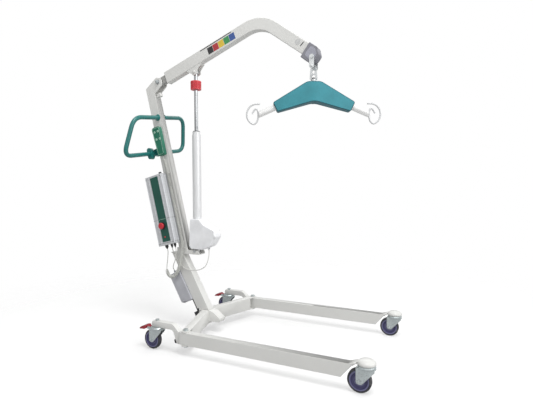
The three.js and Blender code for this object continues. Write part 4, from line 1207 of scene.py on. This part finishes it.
@dataclass
class PushHandle:
    """The closed loop that the lift is pushed by, and its clamp."""

    low: float = 632.0
    top: float = 831.0
    low_half: float = 276.0
    top_half: float = 232.0
    low_u: float = -72.0
    top_u: float = 16.0
    roll: float = 8.0
    mast_face: float = 25.3
    flange_gap: float = 0.2
    radius: float = 12.5
    bend: float = 62.0
    bend_steps: int = 12

    def crossing(self, u: float, along: float, y: float) -> Vector:
        """A place on a bar that crosses behind or through the mast."""
        return MAST.point(u, y, along + y * math.tan(math.radians(self.roll)))

    def loop(self) -> list[Vector]:
        """The tube's middle line, with its four corners rounded.

        Returns:
            Places from one side of the mast round to the other.
        """
        corners = [
            self.crossing(self.top_u, self.top, self.mast_face),
            self.crossing(self.top_u, self.top, self.top_half),
            self.crossing(self.low_u, self.low, self.low_half),
            self.crossing(self.low_u, self.low, -self.low_half),
            self.crossing(self.top_u, self.top, -self.top_half),
            self.crossing(self.top_u, self.top, -self.mast_face),
        ]
        points = [corners[0]]
        for before, here, after in zip(corners, corners[1:], corners[2:]):
            into = here + (before - here).normalized() * self.bend * MM
            out = here + (after - here).normalized() * self.bend * MM
            for k in range(self.bend_steps + 1):
                s = k / self.bend_steps
                points.append(into * (1 - s) ** 2 + here * 2 * s * (1 - s) + out * s * s)
        points.append(corners[-1])
        return points

    def build(self) -> None:
        """Makes the loop, its end flanges and the clamp."""
        placed(wire("handle_loop", self.loop(), self.radius, 8), "base", "handle", HANDLE_COAT, "handle")
        skin("handle_clamp", HANDLE_COAT, "handle", 1.0, clamp=True)
        ring = [(12.6, 0), (18.5, 0), (19.5, 1.0), (19.5, 2.6), (18.0, 4.2), (13.4, 7.0), (12.6, 7.2)]
        for side, mark in SIDES:
            start = self.crossing(self.top_u, self.top, side * (self.mast_face + self.flange_gap))
            outward = MAST.direction(0, side, 0)
            flange = turned(f"handle_flange_{mark}", ring, start, outward, 40, closed=True)
            placed(flange, "base", "handle", HANDLE_COAT)


# ------------------------------------------------------------------ boom


@dataclass
class Boom:
    """The bent boom with its bracket, end cap and pin."""

    rise: float = 20.1
    fall: float = 37.0
    apex: float = 733.0
    outer: float = 321.0
    bend: float = 173.0
    root: float = 58.0
    half: float = 31.0
    root_half: float = 35.5
    width: float = 40.0
    gap: float = 0.5
    lug_half: float = 14.0
    lug_edge: float = 22.0
    lug_end: float = 21.9
    lug_radius: float = 21.8
    lug_seat: float = 6.0
    cap_half: float = 26.0
    cap_start: float = 0.6
    disc_at: tuple[float, float] = (-58.0, 6.0)
    disc_radius: float = 15.0
    disc_sides: int = 32
    patch_start: float = 382.0
    patch_width: float = 35.6
    patch_gap: float = 1.9
    patch_low: float = -21.0
    patch_high: float = 17.0

    def on_inner(self, along: float, up: float) -> tuple[float, float]:
        """A place by the inner length's centre line."""
        c, s = math.cos(math.radians(self.rise)), math.sin(math.radians(self.rise))
        return (BOOM_PIVOT[0] + along * c - up * s, BOOM_PIVOT[1] + along * s + up * c)

    def on_outer(self, along: float, up: float) -> tuple[float, float]:
        """A place by the outer length's centre line.

        Args:
            along: Distance past that length's end.
            up: Distance over the line.

        Returns:
            X and Z in datum millimetres.
        """
        x, z = self.on_inner(self.apex, 0)
        c, s = math.cos(math.radians(self.fall)), math.sin(math.radians(self.fall))
        reach = self.outer + along
        return (x + reach * c + up * s, z - reach * s + up * c)

    def build(self) -> None:
        """Makes the boom's pieces."""
        self.tube()
        self.lug()
        skin("boom_bracket", FRAME_WHITE, "frame", 0.8)
        self.end_cap()
        skin("hanger_pin", GALVANISED, "steel", 0.8)
        for side, mark in SIDES:
            self.markings(side, mark)

    def tube(self) -> None:
        """The bent box section."""
        lift = self.half * math.tan(math.radians((self.rise + self.fall) / 2))
        outline = rounded([
            self.on_inner(self.root, self.root_half),
            self.on_inner(self.root, -self.root_half),
            (*self.on_inner(self.apex - lift, -self.half), self.bend - self.half),
            self.on_outer(-self.gap, -self.half),
            self.on_outer(-self.gap, self.half),
            (*self.on_inner(self.apex + lift, self.half), self.bend + self.half),
        ], 28)
        tube = plate("boom_tube", outline, -self.width / 2, self.width / 2, sharp=12.0)
        placed(eased(tube, 3.2, 3, 30.0), "boom_arm", "frame", FRAME_WHITE, "boom")

    def lug(self) -> None:
        """The tongue that the pivot bolt passes through."""
        outline = rounded([
            self.on_inner(self.root + self.lug_seat, -self.lug_edge),
            self.on_inner(self.root + self.lug_seat, self.lug_edge),
            (*self.on_inner(-self.lug_end, self.lug_edge), self.lug_radius),
            (*self.on_inner(-self.lug_end, -self.lug_edge), self.lug_radius),
        ], 10)
        tongue = plate("boom_root_lug", outline, -self.lug_half, self.lug_half)
        # The lug's grey is painted shade on the frame coat, for the gap between the head's cheeks.
        placed(eased(tongue, 1.0), "boom_arm", "frame", LUG_SHADED)

    def end_cap(self) -> None:
        """The moulded cap, cut where the tube ends, with a lighter panel on both cheeks."""
        cap = skin("boom_end_cap", CAP_GREY, "cap", 3.2, segments=3)
        cap.name = "end_cap_shell"
        x, z = self.on_outer(self.cap_start, 0)
        ahead_x, ahead_z = self.on_outer(self.cap_start + 1, 0)
        start = at(x, 0, z)
        outward = at(ahead_x, 0, ahead_z) - start
        trimmed = bmesh.new()
        trimmed.from_mesh(cap.data)
        everything = [*trimmed.verts, *trimmed.edges, *trimmed.faces]
        bmesh.ops.bisect_plane(
            trimmed, geom=everything, plane_co=start, plane_no=outward.normalized(), clear_inner=True)
        bmesh.ops.edgenet_fill(trimmed, edges=[e for e in trimmed.edges if len(e.link_faces) == 1])
        bmesh.ops.recalc_face_normals(trimmed, faces=trimmed.faces)
        trimmed.to_mesh(cap.data)
        trimmed.free()
        panel = rounded([
            (*self.on_outer(18, 26), 12), (*self.on_outer(14, -28), 14), (*self.on_outer(50, -34), 12),
            (*self.on_outer(70, -14), 14), (*self.on_outer(70, 6), 12), (*self.on_outer(48, 24), 14),
        ], 8)
        for side, mark in SIDES:
            low, high = sorted((side * (self.cap_half + 0.02), side * (self.cap_half + 0.7)))
            cheek = eased(plate(f"cap_panel_{mark}", panel, low, high), 0.3, 1)
            placed(cheek, "boom_arm", "cap", CAP_PANEL)

    def markings(self, side: int, mark: str) -> None:
        """Five plain colour squares under a black bar, a blank disc and a dark stroke.

        Args:
            side: 1 on the left and -1 on the right.
            mark: That side's name.
        """
        low, high = sorted((side * (self.width / 2 + 0.05), side * (self.width / 2 + 0.35)))
        black = Patch.BLACK.finish()

        def sticker(name: str, outline: Sequence[tuple[float, float]], slot: str, vinyl: Finish) -> None:
            """Lays one thin piece called name, in the given slot and finish, on this side."""
            placed(plate(f"{name}_{mark}", outline, low, high), "boom_arm", slot, vinyl)

        bar = [(336, 23.5), (336, 28.0), (554, 28.0), (554, 23.5)]
        sticker("range_bar", [self.on_inner(*p) for p in bar], "black", black)
        along, up = self.disc_at
        turns = [t * math.tau / self.disc_sides for t in range(self.disc_sides)]
        rim = [(along + self.disc_radius * math.cos(t), up + self.disc_radius * math.sin(t)) for t in turns]
        sticker("blank_disc", [self.on_outer(*p) for p in rim], "label", DISC_GREY)
        stroke = [(-36, -4), (-31, -4), (-27, 22), (-32, 22)]
        sticker("dark_mark", [self.on_outer(*p) for p in stroke], "label", black)
        for k, patch in enumerate(Patch):
            a = self.patch_start + k * (self.patch_width + self.patch_gap)
            b = a + self.patch_width
            square = [(a, self.patch_low), (a, self.patch_high), (b, self.patch_high), (b, self.patch_low)]
            square_on = [self.on_inner(*p) for p in square]
            sticker(f"range_{patch.name.lower()}", square_on, "label", patch.finish())


# ------------------------------------------------------------------ hanger and spreader


@dataclass
class Spreader:
    """Shackle, strap link, bolt, bar, cover and hooks."""

    x: float = 203.014
    turn: float = 26.0
    reach: float = 274.7
    end_z: float = 1194.0
    crown: float = 1313.0
    wire_radius: float = 4.5
    hook_gap: float = 0.9
    cover_half: float = 25.0
    swell: float = 12.0
    swell_span: float = 200.0

    def place(self, u: float, y: float, z: float) -> Vector:
        """A place along and beside the bar."""
        c, s = math.cos(math.radians(self.turn)), math.sin(math.radians(self.turn))
        return at(self.x + u * c - y * s, u * s + y * c, z)

    def build(self) -> None:
        """Makes everything that hangs from the boom."""
        skin("hanger_shackle", GALVANISED, "steel", 0.8)
        skin("hanger_strap", GALVANISED, "steel", 0.8)
        skin("swivel_bolt", LINKAGE_BLACK, "linkage", 0.6)
        skin("spreader_bar", ARM_WHITE, "frame", 0.6, angle=40.0)
        self.cover()
        for name, side in (("front", 1), ("rear", -1)):
            self.hook(name, side)

    def swollen(self, u: float, y: float, z: float) -> Vector:
        """A place on the cover, further out near the middle."""
        share = 1.0 - min(1.0, abs(u) / self.swell_span)
        return self.place(u, y + self.swell * share * (1 if y > 0 else -1), z)

    def cover(self) -> None:
        """The chevron cover, proud along its middle, with its darker rim."""
        crest = self.crown
        outline = rounded([
            (0, crest - 58, 90), (183, crest - 110, 10), (206, crest - 63, 10), (34, crest + 39, 46),
            (-34, crest + 39, 46), (-206, crest - 63, 10), (-183, crest - 110, 10),
        ], 6)
        body = plate("spreader_cover_shell", outline, -self.cover_half, self.cover_half, self.swollen)
        self.crease(body)
        placed(eased(body, 4.0, 4, 40.0), "spreader", "teal", TEAL, "spreader_cover")
        body.data.materials.append(TEAL_EDGE.material())
        body.modifiers["eased_edges"].material = 1
        rim = (self.place(0, 1, 0) - self.place(0, 0, 0)).normalized()
        for face in body.data.polygons:
            if abs(face.normal.dot(rim)) < 0.5:
                face.material_index = 1

    def crease(self, body: bpy.types.Object) -> None:
        """Cuts the cover down its middle and draws the cut out to the full swell.

        Args:
            body: The cover.
        """
        middle = self.place(0, 0, 0)
        along = self.place(1, 0, 0) - middle
        across = self.place(0, 1, 0) - middle
        split = bmesh.new()
        split.from_mesh(body.data)
        everything = [*split.verts, *split.edges, *split.faces]
        bmesh.ops.bisect_plane(split, geom=everything, plane_co=middle, plane_no=along)
        for vert in split.verts:
            offset = vert.co - middle
            if abs(offset.dot(along)) / along.length < 0.0001:
                side = 1 if offset.dot(across) > 0 else -1
                wanted = side * (self.cover_half + self.swell)
                vert.co += across * (wanted - offset.dot(across) / across.length_squared)
        split.to_mesh(body.data)
        split.free()

    def hook(self, name: str, side: int) -> None:
        """One pigtail hook.

        Args:
            name: The end of the bar that it hangs from.
            side: 1 at the front and -1 at the rear.
        """
        shape = (
            (30, 3), (21, 18), (11, 28), (4, 22), (0, 6), (1, -22), (9, -41), (22, -49), (38, -42),
            (51, -26), (57, -5), (53, 19), (38, 41), (16, 51), (-10, 52),
        )
        root = self.reach + self.hook_gap + self.wire_radius
        points = catmull([self.place(side * (root + u), 0, self.end_z + z) for u, z in shape], 2.5)
        pigtail = wire(f"hook_{name}_wire", points, self.wire_radius, 6)
        placed(pigtail, "spreader", "steel", WIRE_STEEL, f"hook_{name}")


# ------------------------------------------------------------------ lift actuator


@dataclass
class LiftActuator:
    """Housing, outer tube, rod and lowering collar."""

    x: float = -515.0
    top: float = 645.0
    tube_top: float = 1150.0
    rod_foot: float = 925.0
    rod_top: float = 1482.0
    rod_radius: float = 11.0
    eye_z: float = 1492.0
    collar_z: float = 1392.0
    grips: int = 7
    grip_start: float = 6.0
    grip_step: float = 5.6

    def build(self) -> None:
        """Makes the actuator."""
        up = Vector((0, 0, 1))
        body = skin("lift_actuator_housing", HOUSING_GREY, "housing", 5.0, segments=4)
        body.name = "lift_housing_shell"
        self.tube(up)
        rod = [
            (0, self.rod_foot), (self.rod_radius, self.rod_foot),
            (self.rod_radius, self.rod_top), (0, self.rod_top),
        ]
        shaft = turned("lift_rod_shaft", rod, at(self.x, 0, 0), up, 48)
        placed(shaft, "lift_piston", "steel", ROD_CHROME, "lift_rod")
        barrel = [(0, -9), (13.4, -9), (14, -8.4), (14, 8.4), (13.4, 9), (0, 9)]
        eye = turned("lift_rod_eye", barrel, at(self.x, 0, self.eye_z), Vector((0, 1, 0)), 40)
        placed(eye, "lift_piston", "steel", GALVANISED)
        self.collar(up)

    def tube(self, up: Vector) -> None:
        """The outer tube and the wiper that closes its top.

        Args:
            up: Direction of the actuator.
        """
        length = self.tube_top - self.top
        section = [
            (11.6, 13), (11.6, 0.5), (25, 0.5), (25, length - 17), (24.4, length - 16.2),
            (22.2, length - 16), (22.2, length - 1), (21.4, length), (11.6, length),
        ]
        tube = turned("lift_tube_shell", section, at(self.x, 0, self.top), up, 64, closed=True)
        placed(tube, "lift_cylinder", "silver", TUBE_SILVER, "lift_actuator_tube")
        lip = [(11.7, 0), (20.6, 0), (20.6, 2.2), (18, 4.4), (11.9, 4.6)]
        wiper = turned("lift_wiper", lip, at(self.x, 0, self.tube_top + 0.1), up, 48, closed=True)
        placed(wiper, "lift_cylinder", "black", BLACK)

    def collar(self, up: Vector) -> None:
        """The lowering collar, with a row of grip rings.

        Args:
            up: Direction of the actuator.
        """
        section = [(11.6, 0), (29.5, 0), (31, 1.6)]
        for k in range(self.grips):
            z = self.grip_start + self.grip_step * k
            section += [(31, z), (29.6, z + 0.9), (29.6, z + 2.2), (31, z + 3.1)]
        section += [(31, 47.2), (29.4, 49), (11.6, 49)]
        seat = at(self.x, 0, self.collar_z)
        grip = turned("lowering_collar_grip", section, seat, up, 56, closed=True)
        placed(grip, "collar", "red", COLLAR_RED, "lowering_collar")


# ------------------------------------------------------------------ controls


@dataclass
class ControlBox:
    """Box, mount, label panel, stop button and plugs."""

    near: float = -90.0
    back: float = -122.0
    ahead: float = 3.0
    end: float = 484.0
    stop_u: float = -60.0
    stop_z: float = 181.0
    lamp_z: float = 114.0
    knob_u: float = -26.0
    knob_y: float = -60.0
    proud: float = 0.2
    ridge_radius: float = 1.5
    ridge_inset: float = 6.0
    front_ridges: tuple[float, ...] = (-118.0, -96.0, -22.0, -1.0)
    side_ridges: tuple[float, ...] = (-78.0, -54.0, -42.0)
    joint_z: float = 219.0
    foot_joint_z: float = 80.0

    def build(self) -> None:
        """Makes the box."""
        skin("control_box", BOX_SILVER, "silver", 3.0, segments=3)
        skin("box_mount", BLACK, "black", 0.0)
        skin("box_label", LABEL_GREEN, "label", 0.4)
        self.fittings()
        for name in ("plug_handset", "plug_lift", "plug_legs"):
            skin(name, BLACK, "black", 0.5)
        self.seams()
        self.ridges()

    def fittings(self) -> None:
        """The stop and its bezel, the lamp and the knob on top."""
        across = MAST.direction(0, -1, 0)
        up = MAST.direction(0, 0, 1)
        stop = MAST.point(self.stop_u, self.near, self.stop_z)
        head = [
            (0, 24.3), (9, 24.0), (15.5, 22.4), (18.4, 19.2), (19, 15.4), (17.6, 12.2), (10, 12),
            (10, -3), (0, -3),
        ]
        mushroom = turned("stop_mushroom", head, stop, across, 40)
        placed(mushroom, "stop_button", "red", RED, "emergency_stop")
        ring = [(11.4, 1.6), (21, 1.6), (20.4, 3.6), (13, 4.6), (11.4, 4.6)]
        placed(turned("stop_bezel", ring, stop, across, 40, closed=True), "base", "black", BLACK)
        lens = [(0, 2.6), (3, 2.3), (4.4, 1.5), (4.6, 0), (0, 0)]
        seat = MAST.point(self.stop_u, self.near - 1.6, self.lamp_z)
        placed(turned("power_lamp", lens, seat, across, 24), "base", "red", RED)
        knob = [(0, 14), (7, 13.6), (8.4, 12), (9, 3), (6, 2), (6, 0.2), (0, 0.2)]
        top = MAST.point(self.knob_u, self.knob_y, self.end)
        placed(turned("box_knob", knob, top, up, 28), "base", "black", BLACK)

    def ridge(self, name: str, u: float, y: float) -> None:
        """One raised line of the extruded profile.

        Args:
            name: Name of the piece.
            u: Its place ahead of the mast's axis.
            y: Its place beside the axis.
        """
        ends = (BOX_FOOT + self.ridge_inset, self.end - self.ridge_inset)
        line = wire(name, [MAST.point(u, y, z) for z in ends], self.ridge_radius, 2)
        placed(line, "base", "silver", BOX_SILVER)

    def ridges(self) -> None:
        """The lines on the front and on the side face."""
        for k, u in enumerate(self.front_ridges):
            self.ridge(f"box_ridge_{k}", u, self.near - self.proud)
        for k, y in enumerate(self.side_ridges):
            self.ridge(f"box_side_ridge_{k}", self.ahead + self.proud, y)

    def seams(self) -> None:
        """The joints across the box and its label, the rail behind it and four screws."""
        for name, z in (("battery", self.joint_z), ("base", self.foot_joint_z)):
            ring = [
                MAST.point(self.back - 0.1, self.near - 0.1, z),
                MAST.point(self.ahead + 0.1, self.near - 0.1, z),
                MAST.point(self.ahead + 0.1, -30.2, z),
            ]
            placed(wire(f"box_seam_{name}", ring, 0.8, 1), "base", "black", BLACK)
        label = [MAST.point(self.back + u, self.near - 1.7, self.joint_z) for u in (39, 94)]
        placed(wire("label_groove", label, 0.9, 1), "base", "key", KEY_PALE)
        outline = [(4.5, 70), (4.5, 480), (17, 480), (17, 70)]
        rail = eased(plate("box_rail", outline, -29.6, -25.4, MAST.point), 0.8, 1)
        placed(rail, "base", "black", BLACK)
        across = MAST.direction(0, -1, 0)
        head = [(0, 1.6), (2.6, 1.5), (3.6, 0.6), (3.7, 0), (0, 0)]
        for k, (u, z) in enumerate(((-112, 78), (-8, 78), (-112, 472), (-8, 472))):
            screw = turned(f"box_screw_{k}", head, MAST.point(u, self.near, z), across, 20)
            placed(screw, "base", "steel", BRIGHT_STEEL)


@dataclass(frozen=True)
class Key:
    """One handset key: its place and whether its triangle points up (1) or down (-1)."""

    name: str
    u: float
    v: float
    way: int


@dataclass
class Handset:
    """The hand control with its four keys."""

    near: float = -62.0
    keys: tuple[Key, ...] = (
        Key("up", -3.0, 735.0, 1),
        Key("down", 22.0, 735.0, -1),
        Key("legs_open", 0.0, 690.0, 1),
        Key("legs_close", 25.0, 690.0, -1),
    )

    def build(self) -> None:
        """Makes the handset."""
        skin("handset", GREEN, "handset", 3.5, segments=4)
        rim = rounded([(-7, 598, 8), (31, 598, 8), (33.5, 758, 9), (-17, 758, 9)], 6)
        outline = [MAST.point(u, self.near - 0.2, v) for u, v in rim]
        placed(wire("handset_rim", [*outline, outline[0]], 0.9, 2), "base", "key", KEY_PALE)
        for key in self.keys:
            self.key(key)

    def key(self, key: Key) -> None:
        """A domed key with its triangle.

        Args:
            key: Which key.
        """
        body = f"key_{key.name}"
        across = MAST.direction(0, -1, 0)
        dome = [(0, 2.2), (4.6, 2.1), (6.2, 1.4), (6.9, 0.3), (6.9, -2.6), (4.4, -5.8), (0, -5.8)]
        cap = turned(f"key_{key.name}_cap", dome, MAST.point(key.u, self.near, key.v), across, 28)
        placed(cap, body, "key", KEY_PALE, f"button_{key.name}")
        foot = key.v - key.way * 1.6
        arrow = [(key.u - 3, foot), (key.u + 3, foot), (key.u, key.v + key.way * 2.6)]
        mark = plate(f"key_{key.name}_mark", arrow, self.near - 2.5, self.near - 2.1, MAST.point)
        placed(mark, body, "handset", KEY_MARK)


# ------------------------------------------------------------------ all of it


def main() -> None:
    """Builds the studio and every sub-assembly in order."""
    logging.basicConfig(level=logging.INFO, format="%(name)s: %(message)s")
    bpy.context.scene.view_settings.view_transform = "Standard"
    for part in (
        Studio(), Cords(), Base(), LegDrive(), Mast(), PushHandle(), Boom(), Spreader(),
        LiftActuator(), ControlBox(), Handset(),
    ):
        part.build()
        LOG.info("built %s", type(part).__name__)
    bpy.context.view_layer.update()


if __name__ == "__main__":
    main()
